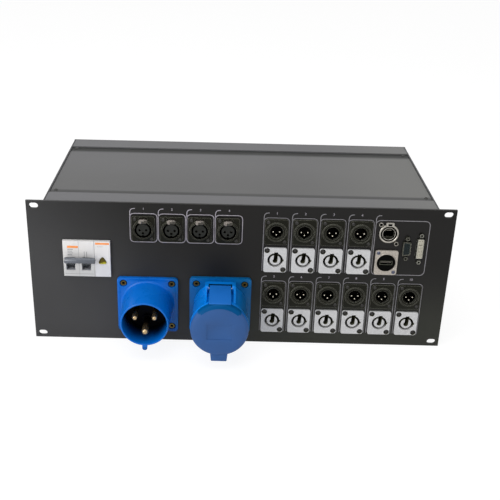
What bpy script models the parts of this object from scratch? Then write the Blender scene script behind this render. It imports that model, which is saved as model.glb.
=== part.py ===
# Rack stage box: a 19-inch, four-unit distribution box with a mains inlet, a lidded mains
# outlet, a breaker, four audio inputs, ten audio outputs, ten locking power outlets,
# a network socket and three video sockets on its front panel.
# Sizes are in metres. X runs to the right seen from the front, Y to the rear and Z up.
# The origin lies under the middle of the whole object, level with the panel's lower edge.
import math

import bmesh
import bpy
from mathutils import Matrix, Vector

# Clearances
GAP = 0.0003
SLIDE_GAP = 0.0004

# Front panel: its outline follows from the sockets that stand on it, the gaps between them and
# the ears, and comes to the 482.6 by 177 mm of a four-unit rack panel
PANEL_T = 0.0030
EAR_W = 0.01835
ROW_LOW_MARGIN = 0.0155
ROW_HIGH_MARGIN = 0.0153
ROW_GAP = 0.0042
MIDDLE_GAP = 0.0138
MODULE_MARGIN = 0.02085
MODULE_GAP = 0.00695
MAINS_GAP = 0.01355
COLUMN_GAP = 0.0130
COLUMN_MARGIN = 0.0107
RACK_SLOT_W = 0.0103
RACK_SLOT_H = 0.0068
RACK_SLOT_INSET = 0.00875
RACK_SLOT_EDGE = 0.00595

# Case behind the panel
CASE_DEPTH = 0.2160
CASE_INSET = 0.0014
SIDE_T = 0.0020
SIDE_DROP = 0.0006
REAR_T = 0.0020
COVER_T = 0.0020
COVER_STEP = 0.0015
FRONT_STRIP = 0.0272
REAR_STRIP = 0.0262
RAIL_WALL = 0.0025
RAIL_LEG = 0.0130
RAIL_LIP = 0.0050
LEDGE_W = 0.0080

# Sockets on the common 26 by 31 mm flange
FLANGE_W = 0.0260
FLANGE_H = 0.0310
FLANGE_T = 0.0020
FLANGE_CORNER = 0.0025
FIXING_W = 0.0190
FIXING_H = 0.0240
FIXING_R = 0.0026
BARREL_R = 0.0117
BARREL_SIDES = 16
COLUMN_PITCH = 0.03175
UPPER_COLUMNS = 4
LOWER_COLUMNS = 6
INPUT_SHIFT = 0.0040
INPUT_PITCH = 0.0319
INPUT_COUNT = 4

# Audio contacts
CONTACT_CIRCLE_R = 0.0040
CONTACT_PIN_R = 0.0012
CONTACT_HOLE_R = 0.0014

# Male audio socket
MALE_DEPTH = 0.0170
MALE_BORE_R = 0.0081
MALE_FLOOR = 0.0095
MALE_BEZEL_R = 0.0109
MALE_BEZEL_T = 0.0008
MALE_PIN_TIP = -0.0012

# Female audio socket and its latch
FEMALE_DEPTH = 0.0240
FEMALE_BEZEL_R = 0.0116
FEMALE_FRONT = 0.0055
FEMALE_BORE_R = 0.0097
FEMALE_INSERT_R = 0.0076
FEMALE_FLOOR = 0.0090
LATCH_W = 0.0096
LATCH_LOW = 0.0081
LATCH_HIGH = 0.0134
LATCH_FRONT = 0.0066
LATCH_TRAVEL = 0.0015
LATCH_STEM_W = 0.0060
LATCH_STEM_T = 0.0010
LATCH_STEM_END = 0.0050

# Locking power outlet
POWER_DEPTH = 0.0220
POWER_RING_R = 0.0087
POWER_CORE_R = 0.0063
POWER_RING_FLOOR = 0.0120
POWER_CORE_RECESS = 0.0006
POWER_SLOT_W = 0.0046
POWER_SLOT_TOP = 0.0098
POWER_SLOT_LOW = 0.0014
POWER_EYE_R = 0.0026
POWER_KEY_W = 0.0024
POWER_KEY_OUT = 0.0098

# Network socket, which is fixed behind the panel
NETWORK_RISE = 0.0004
NETWORK_DEPTH = 0.0240
NETWORK_FRONT = 0.0012
NETWORK_RECESS_R = 0.0090
NETWORK_RECESS_FLOOR = 0.0030
JACK_W = 0.0122
JACK_H = 0.0090
JACK_FLOOR = 0.0150
NETWORK_LATCH_W = 0.0084
NETWORK_LATCH_LOW = 0.0100
NETWORK_LATCH_HIGH = 0.0132
NETWORK_LATCH_FRONT = 0.0032
NETWORK_LATCH_LENGTH = 0.0062

# Slim video socket on a common flange
SLIM_DEPTH = 0.0160
SLIM_DISC_R = 0.0108
SLIM_DISC_RECESS = 0.0008
SLIM_SLOT_W = 0.0148
SLIM_SLOT_H = 0.0055
SLIM_SLOT_FLOOR = 0.0080
SLIM_TONGUE_W = 0.0112
SLIM_TONGUE_H = 0.0013
SLIM_TONGUE_FRONT = 0.0005

# Two upright video sockets
VIDEO_RISE = 0.0006
VIDEO_PLATE_T = 0.0010
VIDEO_PLATE_MARGIN = 0.0030
VIDEO_BACK_DEPTH = 0.0110
VIDEO_CORNER = 0.0020
POST_R = 0.0027
SHELL_WALL = 0.0005
ANALOG_PITCH = 0.0217
ANALOG_W = 0.0090
ANALOG_H = 0.0174
ANALOG_TAPER = 0.0006
ANALOG_POSTS = 0.0250
ANALOG_FRONT = 0.0030
ANALOG_INSERT_RECESS = 0.0010
DIGITAL_PITCH = 0.0153
DIGITAL_W = 0.0088
DIGITAL_H = 0.0252
DIGITAL_TAPER = 0.0
DIGITAL_POSTS = 0.0333
DIGITAL_FRONT = 0.0022
DIGITAL_INSERT_RECESS = 0.0006
POST_FRONT = 0.0028

# Mains inlet
INLET_MARGIN = 0.01425
INLET_FLANGE = 0.0705
MAINS_FLANGE_T = 0.0040
MAINS_CORNER = 0.0040
MAINS_FIXING = 0.0560
MAINS_FIXING_R = 0.0028
INLET_FOOT_R = 0.0326
INLET_FOOT_T = 0.0018
INLET_BASE_R = 0.0298
INLET_MOUTH_R = 0.0278
INLET_BORE_R = 0.0252
INLET_REACH = 0.0495
INLET_BACK = 0.0140
INLET_BACK_R = 0.0265
KEY_W = 0.0058
KEY_OUT = 0.0060
KEY_LENGTH = 0.0240
PIN_CIRCLE_R = 0.0128
EARTH_PIN_R = 0.0040
POWER_PIN_R = 0.0030
PIN_TAIL = 0.0200
EARTH_TIP = 0.0462
POWER_TIP = 0.0476
PIN_CARRIER_FRONT = 0.0120
PIN_CARRIER_BACK = 0.0120
MAINS_SIDES = 32
PIN_SIDES = 12

# Mains outlet
OUTLET_MARGIN = 0.0152
OUTLET_FLANGE = 0.0716
OUTLET_R = 0.0312
OUTLET_REACH = 0.0540
OUTLET_COLLAR_R = 0.0332
OUTLET_COLLAR_T = 0.0040
OUTLET_BORE_R = 0.0266
OUTLET_WEB_FRONT = 0.0120
OUTLET_BACK = 0.0140
OUTLET_BACK_R = 0.0262
CONTACT_CARRIER_R = 0.0207
CONTACT_CARRIER_FRONT = 0.0480
CONTACT_CARRIER_BACK = 0.0140
CONTACT_DEPTH = 0.0360
CONTACT_CLEARANCE = 0.0005

# Outlet lid and hinge, placed from the outlet's centre
LID_R = 0.0329
LID_T = 0.0097
LID_EDGE_IN = 0.0050
LID_EDGE_BACK = 0.0048
LID_EDGE_STEPS = 3
LID_DOME = 0.0003
LID_SEAL_SEAT_R = 0.0303
LID_SEAL_T = 0.0030
LID_WELL_R = 0.0225
LID_WALL = 0.0030
LID_LABEL_W = 0.0280
LID_LABEL_H = 0.0180
LID_LABEL_DEPTH = 0.0010
SEAL_W = 0.0068
HINGE_FORWARD = 0.0230
HINGE_UP = 0.0327
KNUCKLE_R = 0.0036
ARM_W = 0.0255
ARM_SIDE_GAP = 0.0004
ARM_TIP_DROP = 0.0031
ARM_UNDERSIDE = 0.0294
NOTCH_FLOOR = 0.0287
LUG_T = 0.0043
LUG_R = 0.0042
LUG_ROOT = 0.0220
RIB_T = 0.0024
RIB_END = 0.0282
BRIDGE_FRONT = 0.0178
BRIDGE_TOP = 0.0340
HINGE_PIN_R = 0.0012
HINGE_SIDES = 12
TAB_ROOT_W = 0.0185
TAB_TIP_W = 0.0165
TAB_REACH = 0.0394
TAB_T = 0.0036
TAB_BOW = 0.0008
SPRING_WIRE_R = 0.0004
SPRING_COIL_R = 0.0020
SPRING_TURNS = 4
SPRING_PITCH = 0.0013
SPRING_POINTS = 10
SPRING_LEG = 0.0080
SPRING_POCKET_R = 0.0028
SPRING_POCKET_W = 0.0076
SPRING_POCKET_FORWARD = 0.0095
SPRING_POCKET_TOP = 0.0025
SPRING_POCKET_REAR = 0.0010

# Breaker, its residual-current module and the rail that carries them
MODULE_COUNT = 3
MODULE_W = 0.0180
MODULE_DROP = 0.0035
NOSE_H = 0.0450
NOSE_FRONT = 0.0035
NOSE_BACK = 0.0150
SHOULDER_H = 0.0720
SHOULDER_BACK = 0.0190
MODULE_H = 0.0850
MODULE_BACK = 0.0620
RAIL_NOTCH_D = 0.0046
HAT_W = 0.0350
HAT_D = 0.0075
HAT_T = 0.0010
HAT_INNER_W = 0.0270
HAT_OVERHANG = 0.0060
HAT_POST_R = 0.0035
TOGGLE_W = 0.0094
TOGGLE_OFFSET = -0.0008
TOGGLE_PIVOT_Z = -0.0065
TOGGLE_PIVOT_D = 0.0020
TOGGLE_HUB_R = 0.0052
TOGGLE_REACH = 0.0153
TOGGLE_ANGLE = 31.6
TOGGLE_TIP_HALF = 0.0024
TIE_BAR_R = 0.0033
TOGGLE_SLOT_H = 0.0164
TOGGLE_SLOT_GAP = 0.0005
BUTTON_SIDE = 0.0106
BUTTON_CORNER = 0.0014
BUTTON_Z = -0.0024
BUTTON_FRONT = 0.0012
BUTTON_DEPTH = 0.0048
BUTTON_TRAVEL = 0.0012

# Terminal block on the bottom cover
TERMINAL_X = -0.0300
TERMINAL_D = 0.1000
TERMINAL_POLE_W = 0.0100
TERMINAL_POLES = 6
TERMINAL_H = 0.0180
TERMINAL_W = 0.0220
TERMINAL_STEP_H = 0.0100
TERMINAL_STEP_W = 0.0060
TERMINAL_HOLE_R = 0.0022

# Places worked out from the sizes above
LOWER_POWER_Z = ROW_LOW_MARGIN + FLANGE_H / 2
LOWER_AUDIO_Z = LOWER_POWER_Z + FLANGE_H + ROW_GAP
UPPER_POWER_Z = LOWER_AUDIO_Z + FLANGE_H + MIDDLE_GAP
UPPER_AUDIO_Z = UPPER_POWER_Z + FLANGE_H + ROW_GAP
PANEL_H = UPPER_AUDIO_Z + FLANGE_H / 2 + ROW_HIGH_MARGIN
MODULES_W = MODULE_COUNT * MODULE_W
COLUMNS_W = (LOWER_COLUMNS - 1) * COLUMN_PITCH + FLANGE_W
MAINS_W = INLET_FLANGE + MAINS_GAP + OUTLET_FLANGE
CASE_W = MODULE_MARGIN + MODULES_W + MODULE_GAP + MAINS_W + COLUMN_GAP + COLUMNS_W + COLUMN_MARGIN
PANEL_W = CASE_W + 2 * EAR_W
MODULE_LEFT = -CASE_W / 2 + MODULE_MARGIN
MODULES_RIGHT = MODULE_LEFT + MODULES_W
INLET_X = MODULES_RIGHT + MODULE_GAP + INLET_FLANGE / 2
OUTLET_X = INLET_X + INLET_FLANGE / 2 + MAINS_GAP + OUTLET_FLANGE / 2
COLUMN_X = OUTLET_X + OUTLET_FLANGE / 2 + COLUMN_GAP + FLANGE_W / 2
INPUT_X = INLET_X - INPUT_SHIFT
INLET_Z = INLET_MARGIN + INLET_FLANGE / 2
OUTLET_Z = OUTLET_MARGIN + OUTLET_FLANGE / 2
MODULE_Z = UPPER_POWER_Z - MODULE_DROP
NETWORK_Z = UPPER_AUDIO_Z + NETWORK_RISE
VIDEO_Z = (UPPER_POWER_Z + UPPER_AUDIO_Z) / 2 + VIDEO_RISE
LID_REACH = OUTLET_REACH + GAP + LID_T
PANEL_Y = -(PANEL_T + GAP + CASE_DEPTH - LID_REACH) / 2
CASE_FRONT = PANEL_Y + PANEL_T + GAP
CASE_REAR = CASE_FRONT + CASE_DEPTH
CASE_LOW = CASE_INSET
CASE_HIGH = PANEL_H - CASE_INSET
INNER_HALF = CASE_W / 2 - SIDE_T - GAP
LEDGE_DROP = COVER_STEP + COVER_T + GAP
HOLE_R = BARREL_R + GAP
FLANGE_BACK = -GAP
FLANGE_FRONT = -GAP - FLANGE_T
COLUMNS = [COLUMN_X + i * COLUMN_PITCH for i in range(LOWER_COLUMNS)]
MALE_PLACES = [(x, UPPER_AUDIO_Z) for x in COLUMNS[:UPPER_COLUMNS]]
MALE_PLACES += [(x, LOWER_AUDIO_Z) for x in COLUMNS]
POWER_PLACES = [(x, UPPER_POWER_Z) for x in COLUMNS[:UPPER_COLUMNS]]
POWER_PLACES += [(x, LOWER_POWER_Z) for x in COLUMNS]
FEMALE_PLACES = [(INPUT_X + i * INPUT_PITCH, UPPER_AUDIO_Z) for i in range(INPUT_COUNT)]
NETWORK_PLACE = (COLUMNS[UPPER_COLUMNS], NETWORK_Z)
ANALOG_X = COLUMNS[UPPER_COLUMNS] + ANALOG_PITCH
DIGITAL_X = ANALOG_X + DIGITAL_PITCH
SLIM_PLACE = (COLUMNS[UPPER_COLUMNS], UPPER_POWER_Z)
CONTACT_PLACES = [(-CONTACT_CIRCLE_R, 0), (CONTACT_CIRCLE_R, 0), (0, -CONTACT_CIRCLE_R)]
EARTH_ANGLE = -90
POWER_ANGLES = {"line": 150, "neutral": 30}

# Scene and collections
for old in list(bpy.data.objects):
    bpy.data.objects.remove(old, do_unlink=True)
parts = bpy.data.collections.new("rack_stage_box")
helpers = bpy.data.collections.new("cutters")
for collection in (parts, helpers):
    bpy.context.scene.collection.children.link(collection)


def material(name, colour, roughness, metallic=0.0):
    made = bpy.data.materials.new(name)
    made.use_nodes = True
    made.diffuse_color = (*colour, 1)
    shader = made.node_tree.nodes["Principled BSDF"]
    shader.inputs["Base Color"].default_value = (*colour, 1)
    shader.inputs["Roughness"].default_value = roughness
    shader.inputs["Metallic"].default_value = metallic
    return made


PANEL_PAINT = material("panel_paint", (0.035, 0.033, 0.032), 0.45)
CASE_PAINT = material("case_paint", (0.17, 0.17, 0.175), 0.5)
SIDE_PAINT = material("side_paint", (0.06, 0.06, 0.062), 0.5)
BLUE_PLASTIC = material("blue_plastic", (0.02, 0.12, 0.50), 0.4)
BLACK_PLASTIC = material("black_plastic", (0.02, 0.02, 0.02), 0.45)
GREY_PLASTIC = material("grey_plastic", (0.62, 0.64, 0.66), 0.45)
WHITE_PLASTIC = material("white_plastic", (0.80, 0.80, 0.78), 0.4)
TOGGLE_PLASTIC = material("toggle_plastic", (0.10, 0.10, 0.12), 0.4)
BUTTON_PLASTIC = material("button_plastic", (0.26, 0.25, 0.03), 0.4)
NICKEL = material("nickel", (0.55, 0.54, 0.52), 0.3, 1.0)
BRASS = material("brass", (0.75, 0.58, 0.32), 0.3, 1.0)
STEEL = material("steel", (0.55, 0.55, 0.56), 0.35, 1.0)
RUBBER = material("rubber", (0.03, 0.03, 0.03), 0.8)


# Basic shapes, each as a bmesh
def cuboid(x, y, z, round_edges=0.0, segments=2):
    # Its edges along Y are rounded where round_edges is given.
    bm = bmesh.new()
    centre = Vector([(low + high) / 2 for low, high in (x, y, z)])
    size = Vector([high - low for low, high in (x, y, z)])
    bmesh.ops.create_cube(bm, size=1, matrix=Matrix.LocRotScale(centre, None, size))
    if round_edges:
        along_y = [e for e in bm.edges if abs(e.verts[0].co.y - e.verts[1].co.y) > size.y / 2]
        bmesh.ops.bevel(
            bm, geom=along_y, offset=round_edges, segments=segments, profile=0.5, affect="EDGES"
        )
    return bm


def rod(radius, y, centre=(0.0, 0.0), sides=16):
    # A cylinder along Y through the point (x, z).
    bm = bmesh.new()
    middle = Vector((centre[0], (y[0] + y[1]) / 2, centre[1]))
    place = Matrix.Translation(middle) @ Matrix.Rotation(math.pi / 2, 4, "X")
    bmesh.ops.create_cone(
        bm, cap_ends=True, segments=sides, radius1=radius, radius2=radius, depth=y[1] - y[0], matrix=place
    )
    return bm


def crossbar(radius, x, centre, sides=HINGE_SIDES):
    # A cylinder along X through the point (y, z).
    bm = bmesh.new()
    place = Matrix.Translation(((x[0] + x[1]) / 2, *centre)) @ Matrix.Rotation(math.pi / 2, 4, "Y")
    bmesh.ops.create_cone(
        bm, cap_ends=True, segments=sides, radius1=radius, radius2=radius, depth=x[1] - x[0], matrix=place
    )
    return bm


def evaluated_mesh(obj):
    graph = bpy.context.evaluated_depsgraph_get()
    return bpy.data.meshes.new_from_object(obj.evaluated_get(graph))


def outline(points, low, high, axis):
    # A flat outline made solid from low to high: (y, z) points along X, or (x, z) points along Y.
    curve = bpy.data.curves.new("outline", "CURVE")
    curve.dimensions = "2D"
    curve.fill_mode = "BOTH"
    curve.extrude = (high - low) / 2
    spline = curve.splines.new("POLY")
    spline.points.add(len(points) - 1)
    for point, (u, v) in zip(spline.points, points):
        point.co = (u, v, 0, 1)
    spline.use_cyclic_u = True
    drawn = bpy.data.objects.new("outline", curve)
    helpers.objects.link(drawn)
    bm = bmesh.new()
    bm.from_mesh(evaluated_mesh(drawn))
    bpy.data.objects.remove(drawn, do_unlink=True)
    middle = (low + high) / 2
    if axis == "X":
        turn = Matrix(((0, 0, 1, middle), (1, 0, 0, 0), (0, 1, 0, 0), (0, 0, 0, 1)))
    else:
        turn = Matrix(((1, 0, 0, 0), (0, 0, -1, middle), (0, 1, 0, 0), (0, 0, 0, 1)))
    bm.transform(turn)
    bmesh.ops.remove_doubles(bm, verts=bm.verts, dist=1e-6)
    return bm


def turned(profile, sides, closed=False):
    # A profile of (radius, y) points turned about the Y axis.
    mesh = bpy.data.meshes.new("profile")
    edges = [(i, i + 1) for i in range(len(profile) - 1)]
    if closed:
        edges.append((len(profile) - 1, 0))
    mesh.from_pydata([(radius, 0, -y) for radius, y in profile], edges, [])
    drawn = bpy.data.objects.new("profile", mesh)
    helpers.objects.link(drawn)
    screw = drawn.modifiers.new("Screw", "SCREW")
    screw.axis = "Z"
    screw.steps = sides
    screw.render_steps = sides
    screw.use_merge_vertices = True
    screw.merge_threshold = 1e-5
    bm = bmesh.new()
    bm.from_mesh(evaluated_mesh(drawn))
    bpy.data.objects.remove(drawn, do_unlink=True)
    bm.transform(Matrix.Rotation(math.pi / 2, 4, "X"))
    bmesh.ops.remove_doubles(bm, verts=bm.verts, dist=1e-6)
    return bm


def moved(bm, x=0.0, y=0.0, z=0.0):
    bmesh.ops.translate(bm, verts=bm.verts, vec=(x, y, z))
    return bm


def merged(shapes):
    # Several shapes that don't touch, as one bmesh for one cut.
    whole = bmesh.new()
    for bm in shapes:
        mesh = bpy.data.meshes.new("shape")
        bm.to_mesh(mesh)
        bm.free()
        whole.from_mesh(mesh)
    return whole


def mesh_of(name, bm):
    bmesh.ops.recalc_face_normals(bm, faces=bm.faces)
    mesh = bpy.data.meshes.new(name)
    bm.to_mesh(mesh)
    bm.free()
    return mesh


def boolean(target, bm, operation):
    helper = bpy.data.objects.new(f"{target.name}_{operation.lower()}", mesh_of("helper", bm))
    helper.hide_render = True
    helper.display_type = "WIRE"
    helper.location = target.location
    helpers.objects.link(helper)
    step = target.modifiers.new(operation.title(), "BOOLEAN")
    step.operation = operation
    step.object = helper


def shaped(name, base, *steps):
    # The base, joined with or cut by each (operation, bmesh) step in turn, as one mesh.
    body = bpy.data.objects.new(name, mesh_of(name, base))
    helpers.objects.link(body)
    for operation, bm in steps:
        boolean(body, bm, operation)
    mesh = evaluated_mesh(body)
    mesh.name = name
    for step in body.modifiers:
        bpy.data.objects.remove(step.object, do_unlink=True)
    bpy.data.objects.remove(body, do_unlink=True)
    return mesh


def place(name, mesh, finish, location=(0.0, 0.0, 0.0), smooth=True):
    if not mesh.materials:
        mesh.materials.append(finish)
    if smooth:
        mesh.shade_smooth()
        mesh.set_sharp_from_angle(angle=math.radians(35))
    obj = bpy.data.objects.new(name, mesh)
    obj.location = location
    parts.objects.link(obj)
    return obj


JOIN = "UNION"
CUT = "DIFFERENCE"


def on_panel(x, z, d=0.0):
    # A point d behind the panel's front face.
    return (x, PANEL_Y + d, z)


def polar(radius, degrees):
    angle = math.radians(degrees)
    return (radius * math.cos(angle), radius * math.sin(angle))


# Front panel: one plate with every cut-out that the sockets pass through
def panel_cutouts():
    through = (-PANEL_T, 2 * PANEL_T)
    holes = []
    for side in (-1, 1):
        for z in (RACK_SLOT_EDGE, PANEL_H - RACK_SLOT_EDGE):
            x = side * (PANEL_W / 2 - RACK_SLOT_INSET)
            width = (x - RACK_SLOT_W / 2, x + RACK_SLOT_W / 2)
            height = (z - RACK_SLOT_H / 2, z + RACK_SLOT_H / 2)
            holes.append(cuboid(width, through, height, round_edges=RACK_SLOT_H / 2 - 1e-5, segments=4))
    for x, z in MALE_PLACES + POWER_PLACES + FEMALE_PLACES + [SLIM_PLACE]:
        holes.append(rod(HOLE_R, through, (x, z), BARREL_SIDES))
    holes.append(rod(INLET_BACK_R + GAP, through, (INLET_X, INLET_Z), MAINS_SIDES))
    holes.append(rod(OUTLET_BACK_R + GAP, through, (OUTLET_X, OUTLET_Z), MAINS_SIDES))
    modules_x = (MODULE_LEFT - GAP, MODULES_RIGHT + GAP)
    modules_z = (MODULE_Z - NOSE_H / 2 - GAP, MODULE_Z + NOSE_H / 2 + GAP)
    holes.append(cuboid(modules_x, through, modules_z))
    for x, width, height, posts in (
        (ANALOG_X, ANALOG_W, ANALOG_H, ANALOG_POSTS),
        (DIGITAL_X, DIGITAL_W, DIGITAL_H, DIGITAL_POSTS),
    ):
        half_w = width / 2 + GAP
        half_h = height / 2 + GAP
        holes.append(cuboid((x - half_w, x + half_w), through, (VIDEO_Z - half_h, VIDEO_Z + half_h)))
        for side in (-1, 1):
            holes.append(rod(POST_R + GAP, through, (x, VIDEO_Z + side * posts / 2), 8))
    return merged(holes)


def network_cutout():
    through = (-PANEL_T, 2 * PANEL_T)
    x, z = NETWORK_PLACE
    half = NETWORK_LATCH_W / 2 + SLIDE_GAP
    notch = cuboid((x - half, x + half), through, (z, z + NETWORK_LATCH_HIGH + SLIDE_GAP))
    return rod(HOLE_R, through, NETWORK_PLACE, BARREL_SIDES), notch


def front_panel():
    plate = cuboid((-PANEL_W / 2, PANEL_W / 2), (0, PANEL_T), (0, PANEL_H))
    hole, notch = network_cutout()
    mesh = shaped("front_panel", plate, (CUT, panel_cutouts()), (CUT, hole), (CUT, notch))
    place("front_panel", mesh, PANEL_PAINT, on_panel(0, 0), smooth=False)


# Case: four extruded rails, two sides, two covers let in between the rails, and a rear plate
def rail_outline(strip, y, inward, z, upward):
    # The profile's outer corner is at (y, z); its strip runs inward and its leg away from the outer face.
    section = [
        (0, 0),
        (strip, 0),
        (strip, LEDGE_DROP),
        (strip + LEDGE_W, LEDGE_DROP),
        (strip + LEDGE_W, LEDGE_DROP + RAIL_WALL),
        (strip - RAIL_WALL, LEDGE_DROP + RAIL_WALL),
        (strip - RAIL_WALL, RAIL_WALL),
        (RAIL_WALL, RAIL_WALL),
        (RAIL_WALL, RAIL_LEG - RAIL_WALL),
        (RAIL_WALL + RAIL_LIP, RAIL_LEG - RAIL_WALL),
        (RAIL_WALL + RAIL_LIP, RAIL_LEG),
        (0, RAIL_LEG),
    ]
    return [(y + inward * u, z - upward * w) for u, w in section]


def case_rails():
    rear = CASE_REAR - REAR_T - GAP
    for level, z, upward in (("top", CASE_HIGH, 1), ("bottom", CASE_LOW, -1)):
        for end, strip, y, inward in (("front", FRONT_STRIP, CASE_FRONT, 1), ("rear", REAR_STRIP, rear, -1)):
            name = f"{level}_{end}_rail"
            bm = outline(rail_outline(strip, y, inward, z, upward), -INNER_HALF, INNER_HALF, "X")
            place(name, mesh_of(name, bm), CASE_PAINT, smooth=False)


def case_plates():
    rear = CASE_REAR - REAR_T - GAP
    for side, sign in (("left", -1), ("right", 1)):
        name = f"{side}_side_plate"
        x = sorted((sign * (CASE_W / 2 - SIDE_T), sign * CASE_W / 2))
        bm = cuboid(x, (CASE_FRONT, rear), (CASE_LOW + SIDE_DROP, CASE_HIGH - SIDE_DROP))
        place(name, mesh_of(name, bm), SIDE_PAINT, smooth=False)
    width = (-INNER_HALF, INNER_HALF)
    depth = (CASE_FRONT + FRONT_STRIP + GAP, rear - REAR_STRIP - GAP)
    top = CASE_HIGH - COVER_STEP
    bottom = CASE_LOW + COVER_STEP
    for name, z in (("top_cover", top - COVER_T), ("bottom_cover", bottom)):
        bm = cuboid(width, depth, (z, z + COVER_T))
        place(name, mesh_of(name, bm), CASE_PAINT, smooth=False)
    bm = cuboid((-CASE_W / 2, CASE_W / 2), (CASE_REAR - REAR_T, CASE_REAR), (CASE_LOW, CASE_HIGH))
    place("rear_panel", mesh_of("rear_panel", bm), CASE_PAINT, smooth=False)


# Sockets on the common flange, drawn about the barrel's axis with Y = 0 at the panel's front
def common_flange(y=(FLANGE_FRONT, FLANGE_BACK)):
    half_w = FLANGE_W / 2
    half_h = FLANGE_H / 2
    return cuboid((-half_w, half_w), y, (-half_h, half_h), round_edges=FLANGE_CORNER)


def fixing_holes(y):
    upper_left = rod(FIXING_R, y, (-FIXING_W / 2, FIXING_H / 2), 8)
    lower_right = rod(FIXING_R, y, (FIXING_W / 2, -FIXING_H / 2), 8)
    return merged([upper_left, lower_right])


def contact_pins(y):
    return merged([rod(CONTACT_PIN_R, y, centre, 6) for centre in CONTACT_PLACES])


def contact_holes(y):
    return merged([rod(CONTACT_HOLE_R, y, centre, 8) for centre in CONTACT_PLACES])


def male_audio_sockets():
    front = FLANGE_FRONT - MALE_BEZEL_T
    mesh = shaped(
        "audio_output",
        common_flange(),
        (JOIN, rod(BARREL_R, (FLANGE_FRONT + FLANGE_T / 2, MALE_DEPTH), sides=BARREL_SIDES)),
        (JOIN, rod(MALE_BEZEL_R, (front, FLANGE_BACK - FLANGE_T / 4), sides=20)),
        (CUT, rod(MALE_BORE_R, (2 * front, MALE_FLOOR), sides=20)),
        (JOIN, contact_pins((MALE_PIN_TIP, MALE_FLOOR + CONTACT_PIN_R))),
    )
    for number, (x, z) in enumerate(MALE_PLACES, 1):
        place(f"audio_output_{number:02d}", mesh, BLACK_PLASTIC, on_panel(x, z))


def female_audio_sockets():
    front = -FEMALE_FRONT
    half = LATCH_W / 2 + SLIDE_GAP
    notch_z = (LATCH_LOW - SLIDE_GAP, LATCH_HIGH + SLIDE_GAP)
    socket = shaped(
        "audio_input",
        common_flange(),
        (JOIN, rod(BARREL_R, (FLANGE_FRONT + FLANGE_T / 2, FEMALE_DEPTH), sides=BARREL_SIDES)),
        (JOIN, rod(FEMALE_BEZEL_R, (front, FLANGE_BACK - FLANGE_T / 4), sides=20)),
        (CUT, rod(FEMALE_BORE_R, (2 * front, FEMALE_FLOOR), sides=20)),
        (CUT, cuboid((-half, half), (2 * front, GAP), notch_z)),
        (JOIN, rod(FEMALE_INSERT_R, (front + GAP, FEMALE_FLOOR + GAP), sides=BARREL_SIDES)),
        (CUT, contact_holes((2 * front, FEMALE_FLOOR))),
    )
    head_back = FLANGE_BACK - SLIDE_GAP - LATCH_TRAVEL
    stem_x = (-LATCH_STEM_W / 2, LATCH_STEM_W / 2)
    stem = cuboid(stem_x, (head_back - LATCH_STEM_T, LATCH_STEM_END), (LATCH_LOW, LATCH_LOW + LATCH_STEM_T))
    head = cuboid((-LATCH_W / 2, LATCH_W / 2), (-LATCH_FRONT, head_back), (LATCH_LOW, LATCH_HIGH), 0.0010)
    latch = shaped("audio_input_latch", head, (JOIN, stem))
    for number, (x, z) in enumerate(FEMALE_PLACES, 1):
        place(f"audio_input_{number}", socket, BLACK_PLASTIC, on_panel(x, z))
        place(f"audio_input_latch_{number}", latch, NICKEL, on_panel(x, z))


def power_outlets():
    front = 2 * FLANGE_FRONT
    half_slot = POWER_SLOT_W / 2
    half_key = POWER_KEY_W / 2
    mesh = shaped(
        "power_outlet",
        common_flange(),
        (JOIN, rod(BARREL_R, (FLANGE_FRONT + FLANGE_T / 2, POWER_DEPTH), sides=BARREL_SIDES)),
        (CUT, rod(POWER_RING_R, (front, POWER_RING_FLOOR), sides=20)),
        (JOIN, rod(POWER_CORE_R, (FLANGE_FRONT + POWER_CORE_RECESS, POWER_RING_FLOOR + GAP), sides=16)),
        (CUT, rod(POWER_EYE_R, (front, POWER_RING_FLOOR), (0, -POWER_SLOT_LOW), 10)),
        (CUT, cuboid((-half_slot, half_slot), (front, POWER_RING_FLOOR), (-POWER_SLOT_LOW, POWER_SLOT_TOP))),
        (CUT, cuboid((POWER_CORE_R + GAP, POWER_KEY_OUT), (front, POWER_RING_FLOOR), (-half_key, half_key))),
        (CUT, fixing_holes((front, FLANGE_BACK + GAP))),
    )
    for number, (x, z) in enumerate(POWER_PLACES, 1):
        place(f"power_outlet_{number:02d}", mesh, GREY_PLASTIC, on_panel(x, z))


def network_socket():
    flange_y = (PANEL_T + GAP, PANEL_T + GAP + FLANGE_T)
    half_latch = NETWORK_LATCH_W / 2 + SLIDE_GAP
    half_jack = JACK_W / 2
    latch_z = (NETWORK_LATCH_LOW - SLIDE_GAP, NETWORK_LATCH_HIGH + SLIDE_GAP)
    front = -2 * NETWORK_FRONT
    mesh = shaped(
        "network_socket",
        common_flange(flange_y),
        (JOIN, rod(BARREL_R, (-NETWORK_FRONT, NETWORK_DEPTH), sides=BARREL_SIDES)),
        (CUT, rod(NETWORK_RECESS_R, (front, NETWORK_RECESS_FLOOR), sides=BARREL_SIDES)),
        (CUT, cuboid((-half_jack, half_jack), (front, JACK_FLOOR), (-JACK_H / 2, JACK_H / 2))),
        (CUT, cuboid((-half_latch, half_latch), (front, flange_y[1] + GAP), latch_z)),
    )
    place("network_socket", mesh, NICKEL, on_panel(*NETWORK_PLACE))
    latch_y = (-NETWORK_LATCH_FRONT, NETWORK_LATCH_LENGTH - NETWORK_LATCH_FRONT)
    latch_x = (-NETWORK_LATCH_W / 2, NETWORK_LATCH_W / 2)
    latch = cuboid(latch_x, latch_y, (NETWORK_LATCH_LOW, NETWORK_LATCH_HIGH), 0.0008)
    place("network_latch", mesh_of("network_latch", latch), NICKEL, on_panel(*NETWORK_PLACE))


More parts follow.
